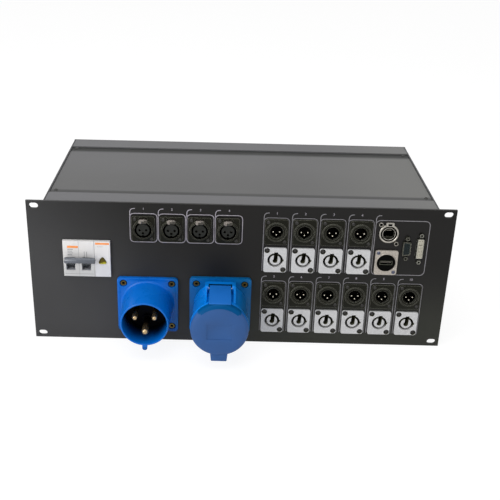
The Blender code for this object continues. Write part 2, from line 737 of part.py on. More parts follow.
def slim_video_socket():
    front = 2 * FLANGE_FRONT
    half_w = SLIM_SLOT_W / 2
    half_h = SLIM_SLOT_H / 2
    half_tongue_w = SLIM_TONGUE_W / 2
    half_tongue_h = SLIM_TONGUE_H / 2
    tongue_y = (FLANGE_FRONT + SLIM_DISC_RECESS + SLIM_TONGUE_FRONT, SLIM_SLOT_FLOOR + GAP)
    mesh = shaped(
        "slim_video_socket",
        common_flange(),
        (JOIN, rod(BARREL_R, (FLANGE_FRONT + FLANGE_T / 2, SLIM_DEPTH), sides=BARREL_SIDES)),
        (CUT, rod(SLIM_DISC_R, (front, FLANGE_FRONT + SLIM_DISC_RECESS), sides=20)),
        (CUT, cuboid((-half_w, half_w), (front, SLIM_SLOT_FLOOR), (-half_h, half_h))),
        (JOIN, cuboid((-half_tongue_w, half_tongue_w), tongue_y, (-half_tongue_h, half_tongue_h))),
    )
    place("slim_video_socket", mesh, NICKEL, on_panel(*SLIM_PLACE))


# Upright video sockets: a tapered shell and two hexagonal posts on a plate behind the panel
def shell_outline(width, height, taper, inset=0.0):
    half_w = width / 2 - inset
    half_h = height / 2 - inset
    corner = VIDEO_CORNER
    right = []
    left = []
    for sign in (-1, 1):
        right += [(half_w, sign * (half_h - taper - corner)), (half_w - corner, sign * (half_h - taper))]
        left += [(-half_w + corner, sign * half_h), (-half_w, sign * (half_h - corner))]
    return [right[1], right[0], right[2], right[3], left[2], left[3], left[1], left[0]]


def video_socket(name, x, width, height, taper, posts, front, recess):
    plate_x = width / 2 + VIDEO_PLATE_MARGIN / 2
    plate_z = posts / 2 + POST_R + VIDEO_PLATE_MARGIN / 2
    plate_y = (PANEL_T + GAP, PANEL_T + GAP + VIDEO_PLATE_T)
    back_y = (plate_y[1] - VIDEO_PLATE_T / 2, plate_y[1] + VIDEO_BACK_DEPTH)
    half_w = width / 2
    post_shapes = []
    for side in (-1, 1):
        post_y = (-POST_FRONT, plate_y[0] + VIDEO_PLATE_T / 2)
        post_shapes.append(rod(POST_R, post_y, (0, side * posts / 2), 6))
    inside = shell_outline(width, height, taper, SHELL_WALL)
    mesh = shaped(
        name,
        cuboid((-plate_x, plate_x), plate_y, (-plate_z, plate_z)),
        (JOIN, outline(shell_outline(width, height, taper), -front, plate_y[0] + VIDEO_PLATE_T / 2, "Y")),
        (JOIN, cuboid((-half_w, half_w), back_y, (-height / 2, height / 2))),
        (JOIN, merged(post_shapes)),
        (CUT, outline(inside, -2 * front, -front + recess, "Y")),
    )
    place(name, mesh, NICKEL, on_panel(x, VIDEO_Z))


def upright_video_sockets():
    analog = (ANALOG_X, ANALOG_W, ANALOG_H, ANALOG_TAPER, ANALOG_POSTS)
    video_socket("analog_video_socket", *analog, ANALOG_FRONT, ANALOG_INSERT_RECESS)
    digital = (DIGITAL_X, DIGITAL_W, DIGITAL_H, DIGITAL_TAPER, DIGITAL_POSTS)
    video_socket("digital_video_socket", *digital, DIGITAL_FRONT, DIGITAL_INSERT_RECESS)


# Mains inlet: a shroud on a square flange, with three pins in a carrier
def mains_flange(side):
    half = side / 2
    return cuboid((-half, half), (-GAP - MAINS_FLANGE_T, -GAP), (-half, half), MAINS_CORNER, segments=3)


def mains_fixings():
    half = MAINS_FIXING / 2
    depth = (-2 * MAINS_FLANGE_T, GAP)
    return merged([rod(MAINS_FIXING_R, depth, (x, z), 8) for x in (-half, half) for z in (-half, half)])


def mains_inlet():
    face = -GAP - MAINS_FLANGE_T
    shroud = [
        (0, INLET_BACK),
        (INLET_BACK_R, INLET_BACK),
        (INLET_BACK_R, face + MAINS_FLANGE_T / 2),
        (INLET_FOOT_R, face + MAINS_FLANGE_T / 2),
        (INLET_FOOT_R, face - INLET_FOOT_T / 2),
        (INLET_BASE_R, face - INLET_FOOT_T),
        (INLET_MOUTH_R, -INLET_REACH),
        (0, -INLET_REACH),
    ]
    key_half = KEY_W / 2
    key_root = INLET_MOUTH_R - (INLET_MOUTH_R - INLET_BORE_R) / 2
    key_tip = INLET_MOUTH_R + KEY_OUT - key_half
    key_y = (-INLET_REACH + GAP, -INLET_REACH + KEY_LENGTH)
    shell = shaped(
        "inlet_shell",
        mains_flange(INLET_FLANGE),
        (JOIN, turned(shroud, MAINS_SIDES)),
        (JOIN, cuboid((-key_half, key_half), key_y, (-key_tip, -key_root))),
        (JOIN, rod(key_half, key_y, (0, -key_tip), 12)),
        (CUT, rod(INLET_BORE_R, (-2 * INLET_REACH, 2 * INLET_BACK), sides=MAINS_SIDES)),
        (CUT, mains_fixings()),
    )
    centre = on_panel(INLET_X, INLET_Z)
    place("inlet_shell", shell, BLUE_PLASTIC, centre)
    pins = {"inlet_earth_pin": (EARTH_PIN_R, EARTH_TIP, polar(PIN_CIRCLE_R, EARTH_ANGLE))}
    for name, degrees in POWER_ANGLES.items():
        pins[f"inlet_{name}_pin"] = (POWER_PIN_R, POWER_TIP, polar(PIN_CIRCLE_R, degrees))
    carrier_y = (-PIN_CARRIER_FRONT, PIN_CARRIER_BACK)
    through = (-2 * PIN_CARRIER_FRONT, 2 * PIN_CARRIER_BACK)
    holes = [rod(radius + GAP, through, spot, PIN_SIDES) for radius, _, spot in pins.values()]
    disc = rod(INLET_BORE_R - GAP, carrier_y, sides=MAINS_SIDES)
    carrier = shaped("inlet_pin_carrier", disc, (CUT, merged(holes)))
    place("inlet_pin_carrier", carrier, BLACK_PLASTIC, centre)
    for name, (radius, tip, spot) in pins.items():
        rounded = [
            (0, PIN_TAIL),
            (radius, PIN_TAIL),
            (radius, -tip + radius * 0.8),
            (radius * 0.75, -tip + radius * 0.2),
            (0, -tip),
        ]
        place(name, mesh_of(name, moved(turned(rounded, PIN_SIDES), spot[0], 0, spot[1])), BRASS, centre)


# Mains outlet: a socket body with hinge lugs, a contact carrier, and a sprung lid with its seal
def arm_outline():
    # Side view of the lid's arm as (y, z) points, from the knuckle to the lid's rim.
    top = HINGE_UP + KNUCKLE_R
    tip = -OUTLET_REACH - GAP - LID_T + LID_EDGE_BACK
    return [
        (-HINGE_FORWARD, top),
        (tip, top - ARM_TIP_DROP),
        (tip, ARM_UNDERSIDE),
        (-HINGE_FORWARD, ARM_UNDERSIDE),
    ]


def hinge_lug(sign):
    # One ear of the hinge: an eye round the pin, a web that slopes back down to the flange, and a
    # thinner rib that runs forward to the collar.
    inner = ARM_W / 2 + ARM_SIDE_GAP
    outer = sign * (inner + LUG_T)
    x = sorted((sign * inner, outer))
    rib_x = sorted((outer - sign * RIB_T, outer))
    face = -GAP - MAINS_FLANGE_T / 2
    collar_back = -OUTLET_REACH + OUTLET_COLLAR_T
    web = [
        (-HINGE_FORWARD, HINGE_UP + LUG_R),
        (face, OUTLET_R),
        (face, LUG_ROOT),
        (-HINGE_FORWARD - LUG_R, LUG_ROOT),
        (-HINGE_FORWARD - LUG_R, HINGE_UP),
    ]
    rib = [
        (-HINGE_FORWARD, HINGE_UP + LUG_R),
        (-HINGE_FORWARD, LUG_ROOT),
        (collar_back - GAP, LUG_ROOT),
        (collar_back - GAP, RIB_END),
    ]
    eye = crossbar(LUG_R, x, (-HINGE_FORWARD, HINGE_UP))
    return outline(web, *x, "X"), eye, outline(rib, *rib_x, "X")


def hinge_bridge():
    # The ledge behind the arm's knuckle, between the two webs.
    face = -GAP - MAINS_FLANGE_T / 2
    half = ARM_W / 2 + ARM_SIDE_GAP + LUG_T / 2
    side = [(-BRIDGE_FRONT, BRIDGE_TOP), (face, OUTLET_R), (face, LUG_ROOT), (-BRIDGE_FRONT, LUG_ROOT)]
    return outline(side, -half, half, "X")


def outlet_body():
    face = -GAP - MAINS_FLANGE_T
    collar_back = -OUTLET_REACH + OUTLET_COLLAR_T
    body = [
        (0, OUTLET_BACK),
        (OUTLET_BACK_R, OUTLET_BACK),
        (OUTLET_BACK_R, face + MAINS_FLANGE_T / 2),
        (OUTLET_R, face + MAINS_FLANGE_T / 2),
        (OUTLET_R, collar_back + (OUTLET_COLLAR_R - OUTLET_R)),
        (OUTLET_COLLAR_R, collar_back),
        (OUTLET_COLLAR_R, -OUTLET_REACH),
        (0, -OUTLET_REACH),
    ]
    bore = [
        (0, 2 * OUTLET_BACK),
        (CONTACT_CARRIER_R + GAP, 2 * OUTLET_BACK),
        (CONTACT_CARRIER_R + GAP, -OUTLET_WEB_FRONT),
        (OUTLET_BORE_R, -OUTLET_WEB_FRONT),
        (OUTLET_BORE_R, -2 * OUTLET_REACH),
        (0, -2 * OUTLET_REACH),
    ]
    inner = ARM_W / 2 + ARM_SIDE_GAP
    notch = cuboid((-inner, inner), (-2 * OUTLET_REACH, -BRIDGE_FRONT), (NOTCH_FLOOR, 2 * OUTLET_R))
    steps = [(JOIN, turned(body, MAINS_SIDES)), (JOIN, hinge_bridge())]
    for sign in (-1, 1):
        steps += [(JOIN, bm) for bm in hinge_lug(sign)]
    pin_hole = crossbar(HINGE_PIN_R + GAP, (-OUTLET_R, OUTLET_R), (-HINGE_FORWARD, HINGE_UP))
    steps += [(CUT, turned(bore, MAINS_SIDES)), (CUT, notch), (CUT, pin_hole), (CUT, mains_fixings())]
    return shaped("outlet_shell", mains_flange(OUTLET_FLANGE), *steps)


def contact_carrier():
    tips = {EARTH_ANGLE: EARTH_PIN_R}
    for degrees in POWER_ANGLES.values():
        tips[degrees] = POWER_PIN_R
    depth = (-2 * CONTACT_CARRIER_FRONT, -CONTACT_CARRIER_FRONT + CONTACT_DEPTH)
    holes = []
    for degrees, radius in tips.items():
        holes.append(rod(radius + CONTACT_CLEARANCE, depth, polar(PIN_CIRCLE_R, degrees), PIN_SIDES))
    body = rod(CONTACT_CARRIER_R, (-CONTACT_CARRIER_FRONT, CONTACT_CARRIER_BACK), sides=MAINS_SIDES)
    return shaped("outlet_contact_carrier", body, (CUT, merged(holes)))


def lid_body():
    seat = -OUTLET_REACH - GAP
    front = seat - LID_T
    dish = [(0, seat), (LID_R, seat)]
    for i in range(LID_EDGE_STEPS + 1):
        turn = math.pi / 2 * i / LID_EDGE_STEPS
        radius = LID_R - LID_EDGE_IN * (1 - math.cos(turn))
        dish.append((radius, front + LID_DOME + LID_EDGE_BACK * (1 - math.sin(turn))))
    dish.append((0, front))
    hollow = [
        (0, seat + LID_SEAL_T),
        (LID_SEAL_SEAT_R, seat + LID_SEAL_T),
        (LID_SEAL_SEAT_R, seat - LID_SEAL_T - GAP),
        (LID_WELL_R, seat - LID_SEAL_T - GAP),
        (LID_WELL_R, front + LID_WALL),
        (0, front + LID_WALL),
    ]
    tab_y = (front + LID_EDGE_BACK / 2, front + LID_EDGE_BACK / 2 + TAB_T)
    tab = [
        (-TAB_ROOT_W / 2, -LID_R * 0.9),
        (-TAB_TIP_W / 2, -TAB_REACH + TAB_BOW),
        (0, -TAB_REACH),
        (TAB_TIP_W / 2, -TAB_REACH + TAB_BOW),
        (TAB_ROOT_W / 2, -LID_R * 0.9),
    ]
    half_label_w = LID_LABEL_W / 2
    half_label_h = LID_LABEL_H / 2
    label_y = (2 * front, front + LID_LABEL_DEPTH)
    half_arm = ARM_W / 2
    half_pocket = SPRING_POCKET_W / 2
    pocket_front = -HINGE_FORWARD - SPRING_POCKET_FORWARD
    pocket_x = (-half_pocket, half_pocket)
    upper_pocket = cuboid(pocket_x, (pocket_front, -HINGE_FORWARD), (0, HINGE_UP + SPRING_POCKET_TOP))
    lower_pocket = cuboid(
        pocket_x, (pocket_front, -HINGE_FORWARD + 2 * KNUCKLE_R), (0, HINGE_UP + SPRING_POCKET_REAR)
    )
    hinge = (-HINGE_FORWARD, HINGE_UP)
    mesh = shaped(
        "outlet_lid",
        turned(dish, MAINS_SIDES),
        (JOIN, outline(arm_outline(), -half_arm, half_arm, "X")),
        (JOIN, crossbar(KNUCKLE_R, (-half_arm, half_arm), hinge)),
        (JOIN, outline(tab, *tab_y, "Y")),
        (CUT, turned(hollow, MAINS_SIDES)),
        (CUT, cuboid((-half_label_w, half_label_w), label_y, (-half_label_h, half_label_h))),
        (CUT, crossbar(HINGE_PIN_R + GAP, (-ARM_W, ARM_W), hinge)),
        (CUT, crossbar(SPRING_POCKET_R, pocket_x, hinge)),
        (CUT, upper_pocket),
        (CUT, lower_pocket),
    )
    mesh.transform(Matrix.Translation((0, HINGE_FORWARD, -HINGE_UP)))
    return mesh


def lid_spring():
    # A torsion spring round the hinge pin: a coil between two legs that lie under the lid's arm.
    steps = SPRING_TURNS * SPRING_POINTS + SPRING_POINTS // 2
    width = SPRING_PITCH * steps / SPRING_POINTS
    points = []
    for i in range(steps + 1):
        angle = -math.pi / 2 + 2 * math.pi * i / SPRING_POINTS
        x = -width / 2 + width * i / steps
        points.append((x, SPRING_COIL_R * math.cos(angle), SPRING_COIL_R * math.sin(angle)))
    lower_end = NOTCH_FLOOR + GAP + SPRING_WIRE_R - HINGE_UP
    first = (points[0][0], -SPRING_LEG, lower_end)
    last = (points[-1][0], -SPRING_LEG, SPRING_COIL_R - SPRING_WIRE_R)
    points = [first] + points + [last]
    wire = bpy.data.curves.new("lid_spring", "CURVE")
    wire.dimensions = "3D"
    wire.bevel_depth = SPRING_WIRE_R
    wire.bevel_resolution = 1
    wire.use_fill_caps = True
    spline = wire.splines.new("POLY")
    spline.points.add(len(points) - 1)
    for point, co in zip(spline.points, points):
        point.co = (*co, 1)
    wire.materials.append(STEEL)
    spring = bpy.data.objects.new("lid_spring", wire)
    spring.location = on_panel(OUTLET_X, OUTLET_Z + HINGE_UP, -HINGE_FORWARD)
    parts.objects.link(spring)


def mains_outlet():
    centre = on_panel(OUTLET_X, OUTLET_Z)
    hinge = on_panel(OUTLET_X, OUTLET_Z + HINGE_UP, -HINGE_FORWARD)
    place("outlet_shell", outlet_body(), BLUE_PLASTIC, centre)
    place("outlet_contact_carrier", contact_carrier(), BLUE_PLASTIC, centre)
    place("outlet_lid", lid_body(), BLUE_PLASTIC, hinge)
    seat = -OUTLET_REACH - GAP
    outer = LID_SEAL_SEAT_R - GAP
    inner = outer - SEAL_W
    ring = [(outer, seat), (outer, seat - LID_SEAL_T), (inner, seat - LID_SEAL_T), (inner, seat)]
    seal = mesh_of("lid_seal", turned(ring, MAINS_SIDES, closed=True))
    seal.transform(Matrix.Translation((0, HINGE_FORWARD, -HINGE_UP)))
    place("lid_seal", seal, RUBBER, hinge)
    half_pin = ARM_W / 2 + ARM_SIDE_GAP + LUG_T
    pin = crossbar(HINGE_PIN_R, (-half_pin, half_pin), (0, 0))
    place("lid_hinge_pin", mesh_of("lid_hinge_pin", pin), STEEL, hinge)
    lid_spring()


# Breaker and residual-current module: the standard side profile, extruded across their widths
def module_outline():
    nose = NOSE_H / 2
    shoulder = SHOULDER_H / 2
    back = MODULE_H / 2
    notch = HAT_W / 2 + GAP
    upper = [
        (-NOSE_FRONT, nose),
        (NOSE_BACK, nose),
        (NOSE_BACK, shoulder),
        (SHOULDER_BACK, back),
        (MODULE_BACK, back),
        (MODULE_BACK, notch),
        (MODULE_BACK - RAIL_NOTCH_D, notch),
    ]
    return upper + [(y, -z) for y, z in reversed(upper)]


def toggle_centres():
    return [MODULE_LEFT + MODULE_W * (i + 0.5) + TOGGLE_OFFSET for i in range(2)]


def breaker():
    points = module_outline()
    slots = []
    for x in toggle_centres():
        half = TOGGLE_W / 2 + TOGGLE_SLOT_GAP
        depth = (-2 * NOSE_FRONT, TOGGLE_PIVOT_D + TOGGLE_HUB_R + TOGGLE_SLOT_GAP)
        height = (TOGGLE_PIVOT_Z - TOGGLE_SLOT_H / 2, TOGGLE_PIVOT_Z + TOGGLE_SLOT_H / 2)
        slots.append(cuboid((x - half, x + half), depth, height))
    two_wide = outline(points, MODULE_LEFT, MODULE_LEFT + 2 * MODULE_W - GAP, "X")
    body = shaped("breaker_body", two_wide, (CUT, merged(slots)))
    place("breaker_body", body, WHITE_PLASTIC, on_panel(0, MODULE_Z), smooth=False)
    breaker_toggle()
    one_wide = outline(points, MODULE_LEFT + 2 * MODULE_W, MODULES_RIGHT, "X")
    well_y = (-2 * NOSE_FRONT, -NOSE_FRONT - BUTTON_FRONT + BUTTON_DEPTH + BUTTON_TRAVEL + SLIDE_GAP)
    centre_x = MODULES_RIGHT - MODULE_W / 2
    well = moved(outline(button_outline(SLIDE_GAP), *well_y, "Y"), centre_x, 0, BUTTON_Z)
    module = shaped("residual_current_module", one_wide, (CUT, well))
    place("residual_current_module", module, WHITE_PLASTIC, on_panel(0, MODULE_Z), smooth=False)
    button_y = (-NOSE_FRONT - BUTTON_FRONT, -NOSE_FRONT - BUTTON_FRONT + BUTTON_DEPTH)
    button = mesh_of("test_button", outline(button_outline(0), *button_y, "Y"))
    place("test_button", button, BUTTON_PLASTIC, on_panel(centre_x, MODULE_Z + BUTTON_Z))


def breaker_toggle():
    # Two levers on one pivot, joined at their tips by a round bar; the origin is on the pivot.
    along = Vector((-math.cos(math.radians(TOGGLE_ANGLE)), math.sin(math.radians(TOGGLE_ANGLE))))
    across = Vector((-along.y, along.x))
    tip = along * TOGGLE_REACH
    lever = [tip + across * TOGGLE_TIP_HALF, tip - across * TOGGLE_TIP_HALF]
    for i in range(7):
        turn = math.pi * i / 6
        lever.append(-across * math.cos(turn) * TOGGLE_HUB_R - along * math.sin(turn) * TOGGLE_HUB_R)
    lever = [tuple(point) for point in lever]
    centre_x = MODULE_LEFT + MODULE_W
    half_bar = MODULE_W - GAP
    bar = crossbar(TIE_BAR_R, (-half_bar, half_bar), tuple(tip), 12)
    steps = []
    for x in toggle_centres():
        low = x - centre_x - TOGGLE_W / 2
        steps.append((JOIN, outline(lever, low, low + TOGGLE_W, "X")))
    pivot = on_panel(centre_x, MODULE_Z + TOGGLE_PIVOT_Z, TOGGLE_PIVOT_D)
    place("breaker_toggle", shaped("breaker_toggle", bar, *steps), TOGGLE_PLASTIC, pivot)


def button_outline(grown):
    # A triangle, point up, with rounded corners, grown all round by a clearance.
    points = []
    reach = BUTTON_SIDE / math.sqrt(3) - 2 * BUTTON_CORNER
    radius = BUTTON_CORNER + grown
    for corner in range(3):
        direction = 90 + 120 * corner
        x, z = polar(reach, direction)
        for turn in (-60, 0, 60):
            dx, dz = polar(radius, direction + turn)
            points.append((x + dx, z + dz))
    return points


def carrier_rail():
    front = MODULE_BACK - RAIL_NOTCH_D + GAP
    half = HAT_W / 2
    inner = HAT_INNER_W / 2
    upper = [
        (front + HAT_D - HAT_T, inner - HAT_T),
        (front, inner - HAT_T),
        (front, half),
        (front + HAT_T, half),
        (front + HAT_T, inner),
        (front + HAT_D, inner),
    ]
    hat = upper + [(y, -z) for y, z in reversed(upper)]
    low = MODULE_LEFT - HAT_OVERHANG - 2 * HAT_POST_R
    high = MODULES_RIGHT + HAT_OVERHANG + 2 * HAT_POST_R
    posts = []
    for x in (low + HAT_POST_R, high - HAT_POST_R):
        posts.append((JOIN, rod(HAT_POST_R, (PANEL_T + GAP, front + HAT_D - HAT_T / 2), (x, 0), 8)))
    mesh = shaped("carrier_rail", outline(hat, low, high, "X"), *posts)
    place("carrier_rail", mesh, STEEL, on_panel(0, MODULE_Z), smooth=False)


# Terminal block: a stepped strip with a wire hole in each pole, standing on the bottom cover
def terminal_block():
    half = TERMINAL_W / 2
    step = half - TERMINAL_STEP_W
    side = [
        (-half, 0),
        (half, 0),
        (half, TERMINAL_STEP_H),
        (step, TERMINAL_STEP_H),
        (step, TERMINAL_H),
        (-step, TERMINAL_H),
        (-step, TERMINAL_STEP_H),
        (-half, TERMINAL_STEP_H),
    ]
    length = TERMINAL_POLES * TERMINAL_POLE_W
    holes = []
    for pole in range(TERMINAL_POLES):
        x = -length / 2 + (pole + 0.5) * TERMINAL_POLE_W
        holes.append(rod(TERMINAL_HOLE_R, (-TERMINAL_W, TERMINAL_W), (x, TERMINAL_STEP_H / 2), 8))
    body = shaped("terminal_block", outline(side, -length / 2, length / 2, "X"), (CUT, merged(holes)))
    floor = CASE_LOW + COVER_STEP + COVER_T + GAP
    place("terminal_block", body, GREY_PLASTIC, on_panel(TERMINAL_X, floor, TERMINAL_D), smooth=False)


front_panel()
case_rails()
case_plates()
male_audio_sockets()
female_audio_sockets()
power_outlets()
network_socket()
slim_video_socket()
upright_video_sockets()
mains_inlet()
mains_outlet()
breaker()
carrier_rail()
terminal_block()
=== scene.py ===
import math

import bmesh
import bpy
from mathutils import Matrix, Vector


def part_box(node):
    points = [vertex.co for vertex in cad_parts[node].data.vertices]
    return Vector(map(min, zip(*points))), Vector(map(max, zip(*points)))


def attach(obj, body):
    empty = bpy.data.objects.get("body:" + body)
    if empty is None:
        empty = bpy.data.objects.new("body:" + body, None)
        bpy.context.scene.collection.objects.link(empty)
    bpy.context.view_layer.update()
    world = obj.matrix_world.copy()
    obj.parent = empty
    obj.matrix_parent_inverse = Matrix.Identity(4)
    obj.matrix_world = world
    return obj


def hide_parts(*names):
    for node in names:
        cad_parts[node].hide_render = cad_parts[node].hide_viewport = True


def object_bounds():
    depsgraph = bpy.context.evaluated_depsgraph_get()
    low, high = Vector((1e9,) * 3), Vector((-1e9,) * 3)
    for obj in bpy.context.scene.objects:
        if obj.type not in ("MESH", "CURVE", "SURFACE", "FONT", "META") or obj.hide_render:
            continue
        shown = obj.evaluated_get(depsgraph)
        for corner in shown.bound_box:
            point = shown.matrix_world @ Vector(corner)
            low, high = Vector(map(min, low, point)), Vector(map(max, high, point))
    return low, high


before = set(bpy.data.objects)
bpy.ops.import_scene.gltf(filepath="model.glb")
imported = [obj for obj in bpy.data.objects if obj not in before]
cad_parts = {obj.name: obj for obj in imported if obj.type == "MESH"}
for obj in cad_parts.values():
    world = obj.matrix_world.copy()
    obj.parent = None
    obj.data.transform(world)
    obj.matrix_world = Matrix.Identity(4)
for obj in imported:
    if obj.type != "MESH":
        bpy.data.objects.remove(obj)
cad_low, cad_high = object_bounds()


# Front panel: a 3 mm aluminium plate, milled and then powder coated dark grey in a fine texture.
# Its coat is a little thinner along the cut edges, and it varies slightly over the plate.
# It is also painted lighter towards the left and the bottom, as painted light.
NOISE_LOW, NOISE_HIGH = 0.3, 0.7
BEND_GAIN, FLECK_GAIN = 8.0, 4.0
ROUGH_SWING, SMOOTHEST = 0.06, 0.03


def shade(red, green, blue):
    # A colour as a screen shows it, from 0 to 255, in the linear values that the shader takes.
    parts = [value / 255 for value in (red, green, blue)]
    linear = [v / 12.92 if v <= 0.04045 else ((v + 0.055) / 1.055) ** 2.4 for v in parts]
    return (*linear, 1.0)


def effect(name, inputs, outputs):
    group = bpy.data.node_groups.new(name, "ShaderNodeTree")
    new_socket = group.interface.new_socket
    for label, value in inputs.items():
        new_socket(label, in_out="INPUT", socket_type="NodeSocketFloat").default_value = value
    for label in outputs:
        new_socket(label, in_out="OUTPUT", socket_type="NodeSocketFloat")
    return group, group.nodes.new("NodeGroupInput"), group.nodes.new("NodeGroupOutput")


def add(tree, *kinds):
    return [tree.nodes.new(kind) for kind in kinds]


def wire(tree, *wires):
    # Each wire holds a node, its output, the node that it feeds and that node's input.
    for source, output, target, entry in wires:
        tree.links.new(source.outputs[output], target.inputs[entry])


def feed(tree, value, socket):
    # A socket is linked, and a plain value is set.
    if isinstance(value, bpy.types.NodeSocket):
        tree.links.new(value, socket)
    elif value is not None:
        socket.default_value = value


def maths(tree, operation, first, second=None, clamp=False):
    node = tree.nodes.new("ShaderNodeMath")
    node.operation = operation
    node.use_clamp = clamp
    feed(tree, first, node.inputs[0])
    feed(tree, second, node.inputs[1])
    return node.outputs[0]


def noise(tree, size, detail=2.0):
    # Noise in the piece's own coordinates, with its size as a length.
    place, made = add(tree, "ShaderNodeTexCoord", "ShaderNodeTexNoise")
    made.inputs["Detail"].default_value = detail
    wire(tree, (place, "Object", made, "Vector"))
    tree.links.new(maths(tree, "DIVIDE", 1.0, size), made.inputs["Scale"])
    return made.outputs[0]


def surface_texture():
    # Grain is the fine relief of a coat or mould, and Patch the slow change from place to place.
    sizes = {"Grain Size": 0.0004, "Patch Size": 0.04}
    group, given, made = effect("surface_texture", sizes, ("Grain", "Patch"))
    for label, detail in (("Grain", 2.0), ("Patch", 4.0)):
        pattern = noise(group, given.outputs[f"{label} Size"], detail)
        group.links.new(pattern, made.inputs[label])
    return group


def edge_wear():
    # Where two faces meet, and more so where the noise is high, the finish takes its edge colour:
    # metal rubbed bare on the coats, and a painted highlight on the black nylon and the video
    # shells.
    sizes = {"Radius": 0.0004, "Amount": 0.5, "Chip Size": 0.003}
    group, given, made = effect("edge_wear", sizes, ("Mask",))
    round_off, flat, facing = add(
        group, "ShaderNodeBevel", "ShaderNodeNewGeometry", "ShaderNodeVectorMath"
    )
    round_off.samples = 4
    facing.operation = "DOT_PRODUCT"
    wire(
        group,
        (given, "Radius", round_off, "Radius"),
        (round_off, "Normal", facing, 0),
        (flat, "Normal", facing, 1),
    )
    bend = maths(group, "SUBTRACT", 1.0, facing.outputs["Value"])
    bend = maths(group, "MULTIPLY", bend, BEND_GAIN, clamp=True)
    flecks = maths(group, "SUBTRACT", noise(group, given.outputs["Chip Size"]), 1.0)
    flecks = maths(group, "ADD", flecks, given.outputs["Amount"])
    flecks = maths(group, "MULTIPLY", flecks, FLECK_GAIN, clamp=True)
    group.links.new(maths(group, "MULTIPLY", bend, flecks, clamp=True), made.inputs["Mask"])
    return group


TEXTURE = surface_texture()
WEAR_AND_GLINT = edge_wear()


def spread(tree, value, low, high):
    # Stretches the band where nearly all the noise lies to the range from low to high.
    node = tree.nodes.new("ShaderNodeMapRange")
    limits = {"From Min": NOISE_LOW, "From Max": NOISE_HIGH, "To Min": low, "To Max": high}
    for label, limit in limits.items():
        node.inputs[label].default_value = limit
    tree.links.new(value, node.inputs["Value"])
    return node.outputs["Result"]


def blended(tree, factor, first, second, mode="MIX"):
    node = tree.nodes.new("ShaderNodeMix")
    node.data_type = "RGBA"
    node.blend_type = mode
    for label, value in (("Factor", factor), ("A", first), ("B", second)):
        feed(tree, value, node.inputs[label])
    return node.outputs["Result"]


def grouped(tree, group, **values):
    node = tree.nodes.new("ShaderNodeGroup")
    node.node_tree = group
    for name, value in values.items():
        node.inputs[name.replace("_", " ").title()].default_value = value
    return node


def finish(
    name, colour, rough, metal=0.0, grain=0.0003, relief=0.00001, patch=0.003, tone=0.2, **more
):
    # more holds: bare, wear and radius for edges that are rubbed bare on some finishes
    # and carry a painted highlight on others, soften for rounded edges, and gloss for how strongly
    # the surface mirrors.
    made = bpy.data.materials.new(name)
    made.use_nodes = True
    tree = made.node_tree
    shader = tree.nodes["Principled BSDF"]
    shader.inputs["Metallic"].default_value = metal
    shader.inputs["Specular IOR Level"].default_value = more.get("gloss", 0.5)
    texture = grouped(tree, TEXTURE, grain_size=grain, patch_size=patch)
    tint = spread(tree, texture.outputs["Patch"], 1.0 - tone, 1.0 + tone)
    surface = blended(tree, 1.0, shade(*colour), tint, "MULTIPLY")
    surface.node.name = "tone"
    smoothest = max(rough - ROUGH_SWING, SMOOTHEST)
    roughness = spread(tree, texture.outputs["Patch"], smoothest, rough + ROUGH_SWING)
    if "bare" in more:
        radius, wear = more.get("radius", 0.0004), more.get("wear", 0.5)
        edge_marks = grouped(tree, WEAR_AND_GLINT, radius=radius, amount=wear)
        surface = blended(tree, edge_marks.outputs["Mask"], surface, shade(*more["bare"]))
    tree.links.new(surface, shader.inputs["Base Color"])
    tree.links.new(roughness, shader.inputs["Roughness"])
    bump = tree.nodes.new("ShaderNodeBump")
    bump.inputs["Distance"].default_value = relief
    wire(tree, (texture, "Grain", bump, "Height"), (bump, "Normal", shader, "Normal"))
    if "soften" in more:
        rounding = tree.nodes.new("ShaderNodeBevel")
        rounding.samples = 6
        rounding.inputs["Radius"].default_value = more["soften"]
        wire(tree, (rounding, "Normal", bump, "Normal"))
    return made


def variant(source, name):
    made = source.copy()
    made.name = name
    return made


def towards(made, colour, direction, low, high):
    # Takes a finish's colour over into another one along a direction, between two distances.
    tree = made.node_tree
    place, along, ramp = add(
        tree, "ShaderNodeTexCoord", "ShaderNodeVectorMath", "ShaderNodeMapRange"
    )
    along.operation = "DOT_PRODUCT"
    along.inputs[1].default_value = direction
    ramp.interpolation_type = "SMOOTHSTEP"
    ramp.inputs["From Min"].default_value = low
    ramp.inputs["From Max"].default_value = high
    wire(tree, (place, "Object", along, 0), (along, "Value", ramp, "Value"))
    tone = tree.nodes["tone"].inputs["A"]
    present = tone.links[0].from_socket if tone.is_linked else tuple(tone.default_value)
    tree.links.new(blended(tree, ramp.outputs["Result"], present, shade(*colour)), tone)
    return made


def dress(material, *nodes):
    for node in nodes:
        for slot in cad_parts[node].material_slots:
            slot.material = material


panel_coat = finish(
    "panel_coat", (27, 26, 25), 0.42, grain=0.0005, relief=0.00003, patch=0.09, tone=0.08,
    bare=(96, 94, 92), wear=0.52, radius=0.0003, gloss=0.16,
)
# Painted light: the coat is painted lighter towards the bottom and towards the left.
towards(panel_coat, (48, 49, 44), (0, 0, -1), -0.1150, -0.0050)
towards(panel_coat, (63, 63, 64), (-1, 0, -1), -0.0900, 0.1500)
dress(panel_coat, "front_panel")
FACE_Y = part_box("front_panel")[0].y


